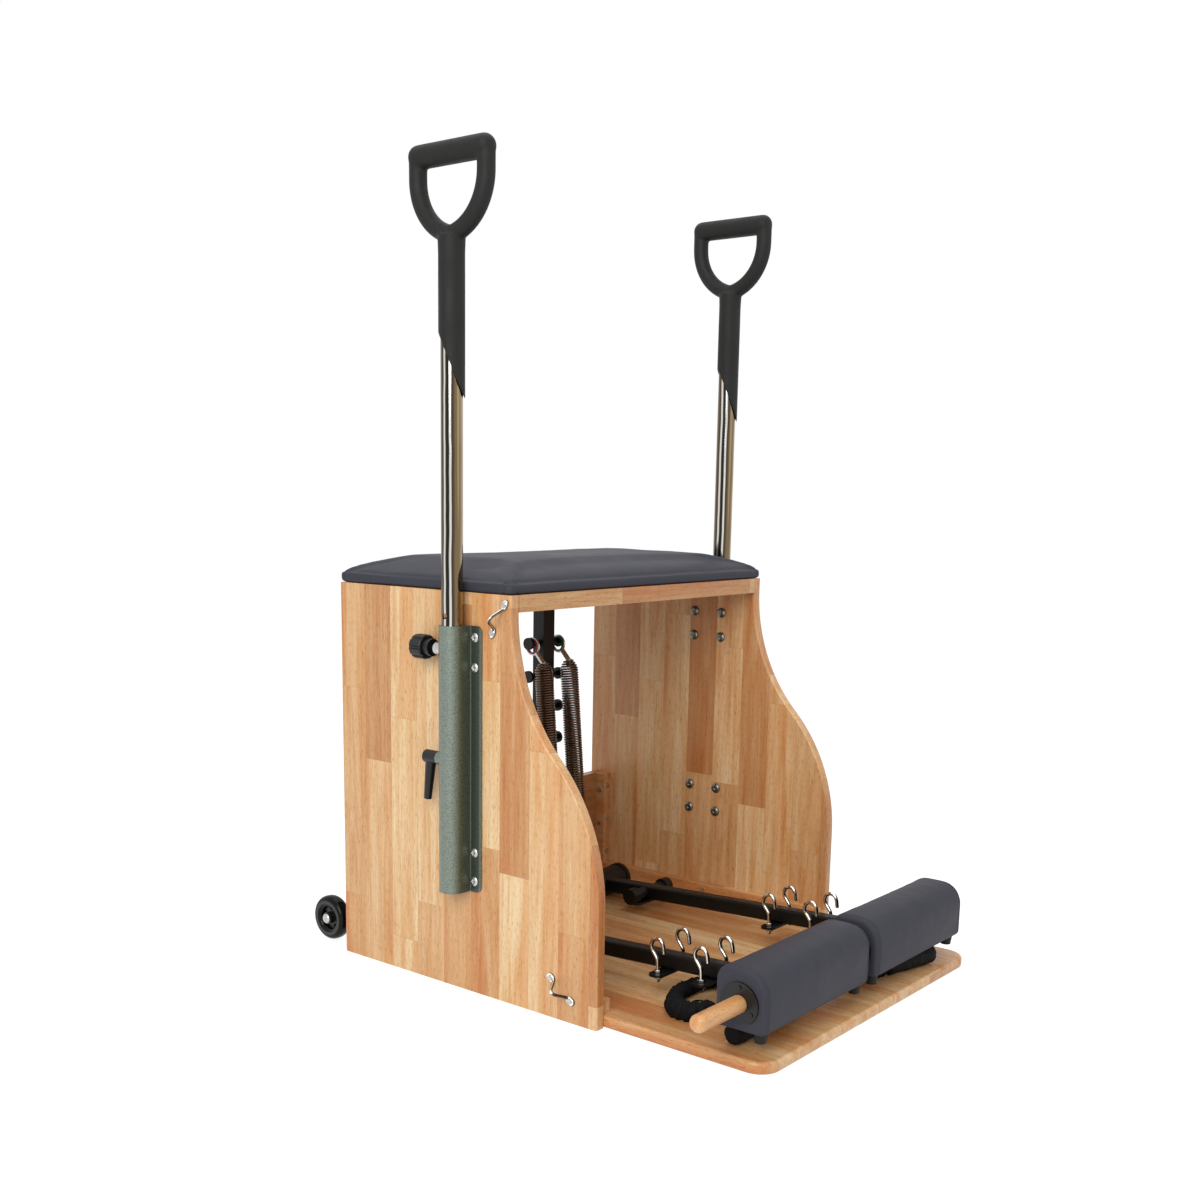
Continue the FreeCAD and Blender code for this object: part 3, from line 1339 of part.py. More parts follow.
os.makedirs("parts", exist_ok=True)
build_case()
build_cushion()
build_springs()
build_axle()
build_pedals()
build_poles()
build_wheels()
build_cords()
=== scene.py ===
import json
import math

import bmesh
import bpy
from mathutils import Matrix, Vector, noise


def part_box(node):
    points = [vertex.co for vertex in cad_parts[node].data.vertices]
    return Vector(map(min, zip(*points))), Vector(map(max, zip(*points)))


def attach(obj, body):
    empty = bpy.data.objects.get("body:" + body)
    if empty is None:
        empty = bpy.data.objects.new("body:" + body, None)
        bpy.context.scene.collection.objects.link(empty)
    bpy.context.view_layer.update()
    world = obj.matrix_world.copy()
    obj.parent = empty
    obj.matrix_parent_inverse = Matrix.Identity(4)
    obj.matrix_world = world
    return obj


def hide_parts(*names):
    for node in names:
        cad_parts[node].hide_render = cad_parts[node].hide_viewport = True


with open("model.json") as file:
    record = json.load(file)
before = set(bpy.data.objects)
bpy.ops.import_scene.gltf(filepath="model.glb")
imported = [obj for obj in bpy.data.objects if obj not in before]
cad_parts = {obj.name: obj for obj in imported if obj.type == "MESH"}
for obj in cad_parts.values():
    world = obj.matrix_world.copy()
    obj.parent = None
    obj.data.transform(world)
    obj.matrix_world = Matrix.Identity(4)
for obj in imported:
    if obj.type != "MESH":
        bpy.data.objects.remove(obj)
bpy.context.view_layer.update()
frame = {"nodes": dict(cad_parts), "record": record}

# Looks of the pilates chair: finishes, soft, wound and small round pieces, camera and light.
# Metres, in the part's frame: +Z up, front at -Y.

nodes = frame["nodes"]
ALONG_X = Vector((1, 0, 0))
ALONG_Y = Vector((0, 1, 0))


# Colours

def linear(red, green, blue):
    """Linear colour of an sRGB colour given in 0 to 255."""
    def channel(value):
        share = value / 255
        return share / 12.92 if share <= 0.04045 else ((share + 0.055) / 1.055) ** 2.4
    return (channel(red), channel(green), channel(blue), 1)


def stops(*bands):
    """Colour ramp from positions that are each followed by an sRGB colour."""
    return tuple((position, linear(*colour)) for position, *colour in bands)


def two_tones(colour, first, second, start=0.3, end=0.7):
    """Colour ramp between two shades of one sRGB colour."""
    def shade(factor):
        return tuple(min(1.0, channel * factor) for channel in linear(*colour)[:3]) + (1,)
    return ((start, shade(first)), (end, shade(second)))


# Shader building

class Tree:
    """A node tree and the few kinds of node that the looks use."""

    def __init__(self, tree):
        self.tree = tree

    def join(self, socket, value):
        if isinstance(value, bpy.types.NodeSocket):
            self.tree.links.new(value, socket)
        else:
            socket.default_value = value

    def node(self, kind, inputs=None, **settings):
        made = self.tree.nodes.new("ShaderNode" + kind)
        for name, setting in settings.items():
            setattr(made, name, setting)
        for socket, value in (inputs or {}).items():
            self.join(made.inputs[socket], value)
        return made

    def math(self, operation, first, second=0.0):
        return self.node("Math", {0: first, 1: second}, operation=operation).outputs[0]

    def vector(self, x, y, z):
        return self.node("CombineXYZ", {0: x, 1: y, 2: z}).outputs[0]

    def split(self, vector):
        return self.node("SeparateXYZ", {0: vector}).outputs

    def scaled(self, vector, scale):
        return self.node("VectorMath", {0: vector, 1: scale}, operation="MULTIPLY").outputs[0]

    def moved(self, vector, shift):
        return self.node("VectorMath", {0: vector, 1: shift}, operation="ADD").outputs[0]

    def noise(self, vector, scale=1.0, detail=3.0, roughness=0.55, distortion=0.0):
        inputs = {"Vector": vector, "Scale": scale, "Detail": detail, "Roughness": roughness,
                  "Distortion": distortion}
        return self.node("TexNoise", inputs).outputs[0]

    def span(self, value, low, high, from_low=0.3, from_high=0.7):
        inputs = {"Value": value, "From Min": from_low, "From Max": from_high, "To Min": low, "To Max": high}
        return self.node("MapRange", inputs).outputs[0]

    def ramp(self, factor, colours):
        made = self.node("ValToRGB", {"Fac": factor})
        elements = made.color_ramp.elements
        while len(elements) < len(colours):
            elements.new(1.0)
        for element, (position, colour) in zip(elements, colours):
            element.position = position
            element.color = colour
        return made.outputs["Color"]

    def mix(self, factor, first, second, blend="MIX"):
        inputs = {0: factor, 6: first, 7: second}
        return self.node("Mix", inputs, data_type="RGBA", blend_type=blend).outputs[2]

    def tinted(self, factor, colour, tint):
        return self.mix(factor, colour, self.mix(1.0, colour, tint, "MULTIPLY"))

    def seen_rays(self):
        """One where a ray comes from the camera, a reflection or glass."""
        path = self.node("LightPath").outputs
        first = self.math("MAXIMUM", path["Is Camera Ray"], path["Is Glossy Ray"])
        return self.math("MAXIMUM", first, path["Is Transmission Ray"])


FINISHES = {}


class Shader(Tree):
    """A finish, kept by its name: a material with one surface, placed in the part's frame."""

    def __init__(self, name, **values):
        material = bpy.data.materials.new(name)
        material.use_nodes = True
        FINISHES[name] = material
        super().__init__(material.node_tree)
        self.surface = self.tree.nodes["Principled BSDF"]
        self.place = self.node("TexCoord").outputs["Object"]
        for socket, value in values.items():
            self.feed(socket.replace("_", " "), value)

    def feed(self, socket, value):
        self.join(self.surface.inputs[socket], value)

    def bump(self, height, strength, distance):
        inputs = {"Height": height, "Strength": strength, "Distance": distance}
        self.feed("Normal", self.node("Bump", inputs).outputs["Normal"])


# Finishes

FINE_BUMP = 0.0003
COARSE_BUMP = 0.0004
GLOSS_SPREAD = 0.15


def plain_finish(name, colour, roughness, metallic=0.0, variation=0.12, patch=18.0, grain=900.0, bump=0.08,
                 **values):
    """Finish with patchy colour and gloss and a fine surface grain."""
    shader = Shader(name, Metallic=metallic, **values)
    patches = shader.noise(shader.place, patch, detail=4.0)
    fine = shader.noise(shader.place, grain, detail=2.0)
    shader.feed("Base Color", shader.ramp(patches, two_tones(colour, 1 - variation, 1 + variation)))
    dull = min(1.0, roughness * (1 + GLOSS_SPREAD))
    shader.feed("Roughness", shader.span(patches, roughness * (1 - GLOSS_SPREAD), dull))
    shader.bump(fine, bump, COARSE_BUMP)


WOOD_TONES = stops((0.0, 206, 156, 106), (0.2, 218, 172, 122), (0.5, 228, 189, 140), (0.78, 236, 203, 156),
                   (1.0, 243, 217, 172))
# painted shade: darker than the other wood's tones, for the boards under the cushion; also slightly yellower
SHADED_RAIL_TONES = stops((0.0, 186, 137, 90), (0.5, 206, 163, 112), (1.0, 220, 186, 138))
DOWEL_TONES = stops((0.0, 226, 178, 122), (0.5, 231, 186, 132), (1.0, 236, 196, 146))
BLUSH_SCALE = (1.1, 19.0, 19.0)  # along, across and into the board
FIGURE_SCALE = (3.2, 42.0, 42.0)
STREAK_SCALE = (9.0, 260.0, 260.0)
PORE_SCALE = (90.0, 1500.0, 1500.0)
BLUSH_TINT = linear(243, 206, 172)
FIGURE_TINT = linear(232, 196, 150)
STREAK_TINT = linear(214, 172, 130)
PORE_TINT = linear(176, 126, 88)
SEAM_COLOUR = linear(150, 98, 58)
SEAM_STRENGTH = 0.35
SEAM_HALF_WIDTH = 0.0003
BLOCK_EVENNESS = 1.4  # the higher, the more alike the blocks' lengths
ROW_SHIFT = 17.0  # in blocks, between strips
CELL_SHIFT = (9.0, 9.0, 9.0)


def seam_line(shader, place, spacing):
    """One on the glue lines between strips or blocks."""
    edge = shader.math("ABSOLUTE", shader.math("SUBTRACT", shader.math("FRACT", place), 0.5))
    return shader.math("GREATER_THAN", edge, 0.5 - SEAM_HALF_WIDTH / spacing)


def wood_finish(name, along, across, strip, block, seed, tones=WOOD_TONES):
    """Lacquered glued-up board: strips along one axis, cut into blocks that differ in tone and grain."""
    shader = Shader(name, Coat_Weight=0.18, Coat_Roughness=0.22)
    axes = dict(zip("XYZ", shader.split(shader.place)))
    run = axes.pop(along)
    width = axes.pop(across)
    depth, = axes.values()
    row_place = shader.math("ADD", shader.math("DIVIDE", width, strip), seed)
    row = shader.math("FLOOR", row_place)
    row_random = shader.node("TexWhiteNoise", {"W": row}, noise_dimensions="1D").outputs["Value"]
    uneven = shader.math("ADD", row_random, BLOCK_EVENNESS)
    row_block = shader.math("MULTIPLY", uneven, block / (BLOCK_EVENNESS + 0.5))
    run_place = shader.math("DIVIDE", run, row_block)
    run_place = shader.math("ADD", run_place, shader.math("MULTIPLY", row_random, ROW_SHIFT))
    cell = shader.vector(row, shader.math("FLOOR", run_place), seed)
    cell_random = shader.node("TexWhiteNoise", {"Vector": cell}, noise_dimensions="3D").outputs
    tone = shader.ramp(cell_random["Value"], tones)

    shifted = shader.moved(shader.vector(run, width, depth), shader.scaled(cell_random["Color"], CELL_SHIFT))
    blush = shader.noise(shader.scaled(shifted, BLUSH_SCALE), detail=3.0, roughness=0.6, distortion=0.5)
    figure = shader.noise(shader.scaled(shifted, FIGURE_SCALE), detail=5.0, roughness=0.62, distortion=0.9)
    streak = shader.noise(shader.scaled(shifted, STREAK_SCALE), detail=4.0, roughness=0.6, distortion=0.2)
    pores = shader.noise(shader.scaled(shifted, PORE_SCALE), detail=2.0, roughness=0.5)
    pore_line = shader.span(pores, 0.0, 0.85, 0.6, 0.68)
    colour = shader.tinted(shader.span(blush, 0.0, 0.9, 0.48, 0.7), tone, BLUSH_TINT)
    colour = shader.tinted(shader.span(figure, 0.0, 0.9, 0.36, 0.68), colour, FIGURE_TINT)
    colour = shader.tinted(shader.span(streak, 0.0, 0.4, 0.48, 0.72), colour, STREAK_TINT)
    colour = shader.tinted(pore_line, colour, PORE_TINT)
    lines = shader.math("MAXIMUM", seam_line(shader, row_place, strip), seam_line(shader, run_place, block))
    seam = shader.math("MULTIPLY", lines, SEAM_STRENGTH)
    shader.feed("Base Color", shader.mix(seam, colour, SEAM_COLOUR))
    shader.feed("Roughness", shader.span(streak, 0.36, 0.5))
    shader.bump(shader.math("SUBTRACT", shader.math("MULTIPLY", streak, 0.4), pore_line), 0.12, FINE_BUMP)


LEATHER_CELLS = 620.0
LEATHER_GRAIN = 1500.0
LEATHER_PATCHES = 9.0


def leather_finish(name, colour):
    """Leather cloth: a fine grain of cells over faint patches."""
    shader = Shader(name, Specular_IOR_Level=0.16)
    inputs = {"Vector": shader.place, "Scale": LEATHER_CELLS}
    cells = shader.node("TexVoronoi", inputs, feature="SMOOTH_F1").outputs[0]
    fine = shader.noise(shader.place, LEATHER_GRAIN, detail=2.0)
    patches = shader.noise(shader.place, LEATHER_PATCHES, detail=3.0)
    shader.feed("Base Color", shader.ramp(patches, two_tones(colour, 0.93, 1.07)))
    shader.feed("Roughness", shader.span(patches, 0.5, 0.6))
    shader.bump(shader.math("ADD", cells, shader.math("MULTIPLY", fine, 0.4)), 0.16, FINE_BUMP)


PAINT_POOLS = 520.0
PAINT_WANDER = 300.0
PAINT_WANDER_REACH = (0.002, 0.002, 0.002)
FLANGE_EDGE = 0.0935
FLANGE_REACH = 0.030
FLANGE_PAINTED_LIGHT = stops(  # painted light and shade from the flange's front edge back over the bend: lighter at the edge, a painted shadow over the flange, a painted highlight on the bend and painted shade on the tube's side past it
    (0.0, 240, 240, 240), (0.10, 230, 230, 230), (0.16, 164, 168, 164), (0.55, 138, 144, 140),
    (0.66, 146, 152, 148), (0.69, 255, 255, 255), (0.735, 255, 255, 255), (0.752, 178, 175, 155),
    (0.80, 204, 202, 184), (0.90, 240, 240, 230), (1.0, 255, 255, 255))


def hammered_finish(name, colour):
    """Hammered paint: fine pools of metal flake with darker rims, with painted light and shade across the
    flange by its place in Y.
    """
    shader = Shader(name, Metallic=0.5)
    wander = shader.noise(shader.place, PAINT_WANDER, detail=2.0)
    shift = shader.scaled(shader.vector(wander, wander, wander), PAINT_WANDER_REACH)
    inputs = {"Vector": shader.moved(shader.place, shift), "Scale": PAINT_POOLS}
    pools = shader.node("TexVoronoi", inputs).outputs[0]
    paint = shader.ramp(pools, two_tones(colour, 1.28, 0.74, 0.1, 0.75))
    # painted shadow on the flange and painted highlights on its edge and bend, multiplied into the paint by
    # the place in Y
    front = shader.split(shader.place)["Y"]
    across = shader.span(front, 0.0, 1.0, FLANGE_EDGE, FLANGE_EDGE + FLANGE_REACH)
    shader.feed("Base Color", shader.mix(1.0, paint, shader.ramp(across, FLANGE_PAINTED_LIGHT), "MULTIPLY"))
    shader.feed("Roughness", shader.span(pools, 0.34, 0.46, 0.1, 0.8))
    shader.bump(pools, 0.14, COARSE_BUMP)


WEAVE_SCALE = 420.0
WEAVE_DISTORTION = 2.5


def cloth_finish(name, colour):
    """Woven stretch fabric: two crossed fine waves."""
    shader = Shader(name, Specular_IOR_Level=0.15)
    inputs = {"Vector": shader.place, "Scale": WEAVE_SCALE, "Distortion": WEAVE_DISTORTION}
    warp = shader.node("TexWave", inputs).outputs["Fac"]
    weft = shader.node("TexWave", inputs, bands_direction="Y").outputs["Fac"]
    weave = shader.math("MULTIPLY", warp, weft)
    shader.feed("Base Color", shader.ramp(weave, two_tones(colour, 0.6, 1.5, 0.1, 0.8)))
    shader.feed("Roughness", shader.span(weave, 0.7, 0.9, 0.0, 1.0))
    shader.bump(weave, 0.3, COARSE_BUMP)


METAL_WAVES = 14.0
METAL_WAVER = 0.02
METAL_SMEARS = 30.0
POLE_ACROSS = (0.63, -0.777, 0.0)
POLE_PAINTED_REFLECTIONS = stops(  # painted reflections across a pole, from the rear left round to the front right
    (0.0, 112, 100, 80), (0.08, 92, 78, 60), (0.14, 58, 46, 37), (0.18, 216, 211, 205), (0.23, 222, 218, 212),
    (0.27, 58, 55, 47), (0.40, 40, 39, 33), (0.44, 212, 211, 206), (0.50, 222, 221, 216), (0.54, 66, 57, 47),
    (0.63, 90, 76, 62), (0.69, 122, 104, 78), (0.88, 126, 109, 80), (0.95, 158, 143, 118),
    (1.0, 172, 160, 138))
CHROME_ACROSS = (0.52, -0.64, -0.565)
CHROME_PAINTED_REFLECTIONS = stops(  # painted reflections, from the upper left round to the lower right
    (0.0, 150, 148, 144), (0.12, 228, 227, 224), (0.30, 238, 237, 234), (0.40, 150, 146, 138),
    (0.50, 70, 66, 60), (0.68, 52, 48, 43), (0.80, 128, 118, 104), (0.90, 176, 168, 154), (1.0, 92, 84, 74))


def painted_reflection_metal(name, across, bands, roughness):
    """Mirror metal whose colour holds painted reflections: the dark and light bands of a studio, by which way
    the surface faces.
    """
    shader = Shader(name, Metallic=1.0)
    normal = shader.node("NewGeometry").outputs["Normal"]
    facing = shader.node("VectorMath", {0: normal, 1: across}, operation="DOT_PRODUCT").outputs["Value"]
    waver = shader.span(shader.noise(shader.place, METAL_WAVES, detail=2.0), -METAL_WAVER, METAL_WAVER)
    share = shader.math("ADD", shader.span(facing, 0.0, 1.0, -1.0, 1.0), waver)
    # painted reflections: the base colour changes with which way the surface faces
    shader.feed("Base Color", shader.ramp(share, bands))
    smears = shader.noise(shader.place, METAL_SMEARS, detail=3.0)
    shader.feed("Roughness", shader.span(smears, roughness * 0.7, roughness * 1.4))


# Run and width of the strips, their width, the blocks' length and a seed
wood_finish("panel_wood", "Z", "Y", 0.058, 0.34, 3.0)
wood_finish("base_wood", "Y", "X", 0.056, 0.36, 11.0)
wood_finish("shaded_rail_wood", "X", "Y", 0.061, 0.42, 23.0, SHADED_RAIL_TONES)
wood_finish("cleat_wood", "Y", "X", 0.3, 1.2, 31.0)
wood_finish("core_wood", "X", "Z", 0.0025, 2.0, 5.0)
wood_finish("dowel_wood", "X", "Y", 0.2, 3.0, 7.0, DOWEL_TONES)
leather_finish("leather", (60, 60, 69))
plain_finish("black_steel", (11, 11, 10), 0.42, grain=700.0, bump=0.12, Specular_IOR_Level=0.28)
plain_finish("spring_steel", (104, 84, 68), 0.3, metallic=0.9, patch=60.0)
plain_finish("bright_steel", (190, 190, 188), 0.3, metallic=1.0, patch=120.0)
plain_finish("nut_steel", (124, 124, 117), 0.32, metallic=1.0, patch=120.0)
plain_finish("red_plastic", (190, 24, 22), 0.35, patch=60.0)
plain_finish("green_plastic", (30, 110, 60), 0.35, patch=60.0)
hammered_finish("hammered_paint", (124, 134, 124))
plain_finish("black_plastic", (14, 14, 14), 0.36, patch=40.0, grain=1500.0, Specular_IOR_Level=0.4)
painted_reflection_metal("pole_chrome", POLE_ACROSS, POLE_PAINTED_REFLECTIONS, 0.09)
plain_finish("grip_rubber", (30, 30, 29), 0.6, patch=25.0, grain=1400.0, bump=0.25, Specular_IOR_Level=0.25)
painted_reflection_metal("chrome", CHROME_ACROSS, CHROME_PAINTED_REFLECTIONS, 0.1)
plain_finish("wheel_rubber", (10, 10, 9), 0.13, patch=40.0, bump=0.02, Specular_IOR_Level=0.16)
plain_finish("wheel_plastic", (22, 22, 21), 0.34, patch=50.0)
plain_finish("bush_bronze", (168, 130, 78), 0.4, metallic=0.9, patch=80.0)
cloth_finish("cord_fabric", (11, 11, 12))
cloth_finish("handle_foam", (14, 14, 14))
plain_finish("hook_plastic", (14, 14, 14), 0.16, patch=40.0)
WOOD_BY_NODE = {"base_board": "base_wood", "seat_board": "shaded_rail_wood", "rear_board": "shaded_rail_wood"}


def dress_frame():
    """Gives every node the finish of its slot; a few boards have their own grain, and the seat and rear
    boards darker tones as painted shade.
    """
    for part in frame["record"]["subparts"]:
        finish = WOOD_BY_NODE.get(part["node"], part["material_slot"])
        mesh = nodes[part["node"]].data
        mesh.materials.clear()
        mesh.materials.append(FINISHES[finish])


# Mesh building

BORE_SIDES = 48
TURNED_SIDES = 72
CLOTH_FRAMES = 20
CLOTH_QUALITY = 6
CLOTH_MASS = 0.3
CLOTH_PRESSURE = 4.0
COVER_ROUNDS = 3


def linked(name, data):
    made = bpy.data.objects.new(name, data)
    bpy.context.scene.collection.objects.link(made)
    return made


def piece(name, mesh, body, slot, node):
    """Object that rides a body in place of a node."""
    made = linked(name, mesh)
    mesh.materials.clear()
    mesh.materials.append(FINISHES[slot])
    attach(made, body)
    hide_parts(node)
    return made


def box_corners(node):
    low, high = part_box(node)
    return Vector(low), Vector(high)


def smooth(mesh):
    for polygon in mesh.polygons:
        polygon.use_smooth = True
    return mesh


def mesh_of(name, build):
    """Mesh whose faces a function adds to a new bmesh."""
    work = bmesh.new()
    build(work)
    bmesh.ops.recalc_face_normals(work, faces=work.faces)
    mesh = bpy.data.meshes.new(name)
    work.to_mesh(mesh)
    work.free()
    return smooth(mesh)


def add_rings(work, rings, looped=False):
    """Joins rings of equally many points into a tube with closed ends, or into a ring."""
    layers = [[work.verts.new(point) for point in ring] for ring in rings]
    count = len(layers[0])
    following = layers[1:] + layers[:1] if looped else layers[1:]
    for lower, upper in zip(layers, following):
        for index in range(count):
            after = (index + 1) % count
            work.faces.new((lower[index], lower[after], upper[after], upper[index]))
    if not looped:
        work.faces.new(list(reversed(layers[0])))
        work.faces.new(layers[-1])


def add_round(work, layers, sides, place_at, looped=False):
    """One ring of points for each layer; a function places a point by its layer and angle."""
    angles = [2 * math.pi * step / sides for step in range(sides)]
    add_rings(work, [[place_at(layer, angle) for angle in angles] for layer in layers], looped)


def path_frames(points):
    """Point and two side directions along a path, turned as little as possible."""
    side = None
    for index, point in enumerate(points):
        before = points[max(index - 1, 0)]
        after = points[min(index + 1, len(points) - 1)]
        heading = (after - before).normalized()
        if side is None:
            side = heading.orthogonal().normalized()
        side = (side - heading * side.dot(heading)).normalized()
        yield point, side, heading.cross(side)


def add_tube(work, points, sides, radius_at):
    def place_at(layer, angle):
        index, (point, side, other) = layer
        return point + (side * math.cos(angle) + other * math.sin(angle)) * radius_at(index, angle)
    add_round(work, enumerate(path_frames(points)), sides, place_at)


def add_turned(work, centre, profile, looped=False):
    """Shape turned round a line along X, from places along it and radii."""
    def place_at(layer, angle):
        along, radius = layer
        return centre + Vector((along, radius * math.cos(angle), radius * math.sin(angle)))
    add_round(work, profile, TURNED_SIDES, place_at, looped)


def modified(mesh, kind, **settings):
    """Mesh with one modifier worked in."""
    holder = linked("work", mesh)
    modifier = holder.modifiers.new(kind, kind)
    for name, setting in settings.items():
        setattr(modifier, name, setting)
    graph = bpy.context.evaluated_depsgraph_get()
    result = bpy.data.meshes.new_from_object(holder.evaluated_get(graph))
    bpy.data.objects.remove(holder)
    return smooth(result)


def remeshed(mesh, voxel):
    return modified(mesh, "REMESH", mode="VOXEL", voxel_size=voxel)


def relaxed(mesh, rounds, moves=lambda place: True):
    """Smooths the points that a test picks."""
    work = bmesh.new()
    work.from_mesh(mesh)
    picked = [vertex for vertex in work.verts if moves(vertex.co)]
    for _ in range(rounds):
        bmesh.ops.smooth_vert(work, verts=picked, factor=0.5, use_axis_x=True, use_axis_y=True,
                              use_axis_z=True)
    work.to_mesh(mesh)
    work.free()
    return mesh


def puffed(mesh, held, cap):
    """Leather blown out over its foam by a short cloth run; points that a test picks stay put."""
    scene = bpy.context.scene
    holder = linked("work", mesh)
    start = [vertex.co.copy() for vertex in mesh.vertices]
    pins = holder.vertex_groups.new(name="held")
    pins.add([index for index, place in enumerate(start) if held(place)], 1.0, "REPLACE")
    cloth = holder.modifiers.new("cloth", "CLOTH")
    cloth.settings.quality = CLOTH_QUALITY
    cloth.settings.mass = CLOTH_MASS
    cloth.settings.use_pressure = True
    cloth.settings.uniform_pressure_force = CLOTH_PRESSURE
    cloth.settings.effector_weights.gravity = 0
    cloth.settings.vertex_group_mass = "held"
    cloth.point_cache.frame_start = 1
    cloth.point_cache.frame_end = CLOTH_FRAMES
    for step in range(1, CLOTH_FRAMES + 1):
        scene.frame_set(step)
    graph = bpy.context.evaluated_depsgraph_get()
    blown = [vertex.co.copy() for vertex in holder.evaluated_get(graph).data.vertices]
    holder.modifiers.clear()
    for vertex, before, after in zip(mesh.vertices, start, blown):
        move = after - before
        vertex.co = before + (move.normalized() * min(move.length, cap) if move.length > 0 else move)
    bpy.data.objects.remove(holder)
    scene.frame_set(1)
    return mesh


def leather_cover(mesh, voxel, held, cap):
    """Evenly meshed cover, blown out, smoothed and made finer."""
    mesh = puffed(remeshed(mesh, voxel), held, cap)
    return modified(relaxed(mesh, COVER_ROUNDS), "SUBSURF", levels=1)


def displaced(mesh, push):
    """Moves each point along its normal by what a function of its place and normal says."""
    mesh.update()
    normals = [vertex.normal.copy() for vertex in mesh.vertices]
    for vertex, normal in zip(mesh.vertices, normals):
        vertex.co = vertex.co + normal * push(vertex.co, normal)
    return mesh


def floored(mesh, height):
    """Lifts the points below a height up to it."""
    for vertex in mesh.vertices:
        vertex.co.z = max(vertex.co.z, height)
    return mesh


def groove(value, centre, width, depth):
    return -depth * math.exp(-((value - centre) / width) ** 2)


def wrinkles(place, waves):
    """Soft unevenness, from noises with a scale, a height and a shift."""
    return sum(noise.noise(place * scale + Vector(shift)) * height for scale, height, shift in waves)


def bored(mesh, start, end, radius):
    """Mesh with a round hole cut along a line."""
    def build(work):
        add_tube(work, [start, end], BORE_SIDES, lambda index, angle: radius)
    tool = linked("bore", mesh_of("bore", build))
    result = modified(mesh, "BOOLEAN", operation="DIFFERENCE", solver="EXACT", object=tool)
    bpy.data.objects.remove(tool)
    return result


def eased(value, power):
    """Power of a value that keeps its sign."""
    return math.copysign(abs(value) ** power, value)


def islands(mesh):
    """Corners of the boxes round a mesh's separate parts."""
    work = bmesh.new()
    work.from_mesh(mesh)
    bmesh.ops.remove_doubles(work, verts=work.verts, dist=1e-6)
    seen = set()
    boxes = []
    for first in work.verts:
        if first in seen:
            continue
        seen.add(first)
        waiting = [first]
        places = []
        while waiting:
            vertex = waiting.pop()
            places.append(vertex.co.copy())
            for edge in vertex.link_edges:
                other = edge.other_vert(vertex)
                if other not in seen:
                    seen.add(other)
                    waiting.append(other)
        boxes.append([Vector([pick(values) for values in zip(*places)]) for pick in (min, max)])
    work.free()
    return boxes


# Seat cushion

CUSHION_PROFILE = (  # height above the seat and inset from the edge
    (0.0, 0.0008), (0.004, 0.0002), (0.010, 0.0), (0.0165, 0.0004), (0.0185, 0.0018), (0.021, 0.006),
    (0.0250, 0.0115), (0.0297, 0.0205), (0.0335, 0.0325), (0.0363, 0.0475), (0.0384, 0.066), (0.0398, 0.090),
    (0.0408, 0.120), (0.0414, 0.155))
CUSHION_CORNER = 0.011
CUSHION_CORNER_STEPS = 8
CUSHION_SIDE_STEPS = 16
CUSHION_DRAW = 0.0015  # how far a side's middle is drawn in
CUSHION_DRAW_POWER = 0.6
CUSHION_VOXEL = 0.0045
CUSHION_PUFF = 0.005  # the most that the cloth run moves a point
CUSHION_BAND = 0.0178  # height of the seam over the side band
CUSHION_BAND_HELD = 0.002  # how far below the seam the cloth run starts
CUSHION_SEAM = (0.0021, 0.0016)  # half width and depth
CUSHION_SIDE = (0.03, 0.02)  # height and depth of the zone with seams
CUSHION_FOLD = (0.017, 0.0022, 0.0014)  # place from the corner, half width and depth
CUSHION_WRINKLES = ((14, 0.0007, (0, 0, 0)), (33, 0.0003, (7, 3, 1)))
CUSHION_FADE = 0.01


def cushion_ring(low, high, height, inset):
    points = []
    reach = CUSHION_CORNER
    left, right, front, rear = low.x + inset, high.x - inset, low.y + inset, high.y - inset
    corners = ((right - reach, front + reach, -90), (right - reach, rear - reach, 0),
               (left + reach, rear - reach, 90), (left + reach, front + reach, 180))
    for (x, y, start), after in zip(corners, corners[1:] + corners[:1]):
        for step in range(CUSHION_CORNER_STEPS + 1):
            angle = math.radians(start + 90 * step / CUSHION_CORNER_STEPS)
            points.append(Vector((x + reach * math.cos(angle), y + reach * math.sin(angle), low.z + height)))
        turn = math.radians(start + 90)
        last = points[-1]
        following = Vector((after[0] + reach * math.cos(turn), after[1] + reach * math.sin(turn), last.z))
        inward = Vector((-math.cos(turn), -math.sin(turn), 0))
        for step in range(1, CUSHION_SIDE_STEPS):
            share = step / CUSHION_SIDE_STEPS
            draw = CUSHION_DRAW * (4 * share * (1 - share)) ** CUSHION_DRAW_POWER
            points.append(last.lerp(following, share) + inward * draw)
    return points


def make_cushion():
    low, high = box_corners("seat_cushion")
    rings = [cushion_ring(low, high, height, inset) for height, inset in CUSHION_PROFILE]
    mesh = mesh_of("seat_cushion_leather", lambda work: add_rings(work, rings))
    held_height = low.z + CUSHION_BAND - CUSHION_BAND_HELD
    mesh = leather_cover(mesh, CUSHION_VOXEL, lambda place: place.z < held_height, CUSHION_PUFF)

    def push(place, normal):
        near_x = min(place.x - low.x, high.x - place.x)
        near_y = min(place.y - low.y, high.y - place.y)
        level = place.z - low.z
        amount = 0.0
        if level < CUSHION_SIDE[0] and min(near_x, near_y) < CUSHION_SIDE[1]:
            amount += groove(level, CUSHION_BAND, *CUSHION_SEAM)
            if level < CUSHION_BAND:
                amount += groove(max(near_x, near_y), *CUSHION_FOLD)
        return amount + wrinkles(place, CUSHION_WRINKLES) * min(1.0, level / CUSHION_FADE)

    mesh = floored(displaced(mesh, push), low.z)
    made = piece("seat_cushion_leather", mesh, "frame", "leather", "seat_cushion")


# Pedal pads

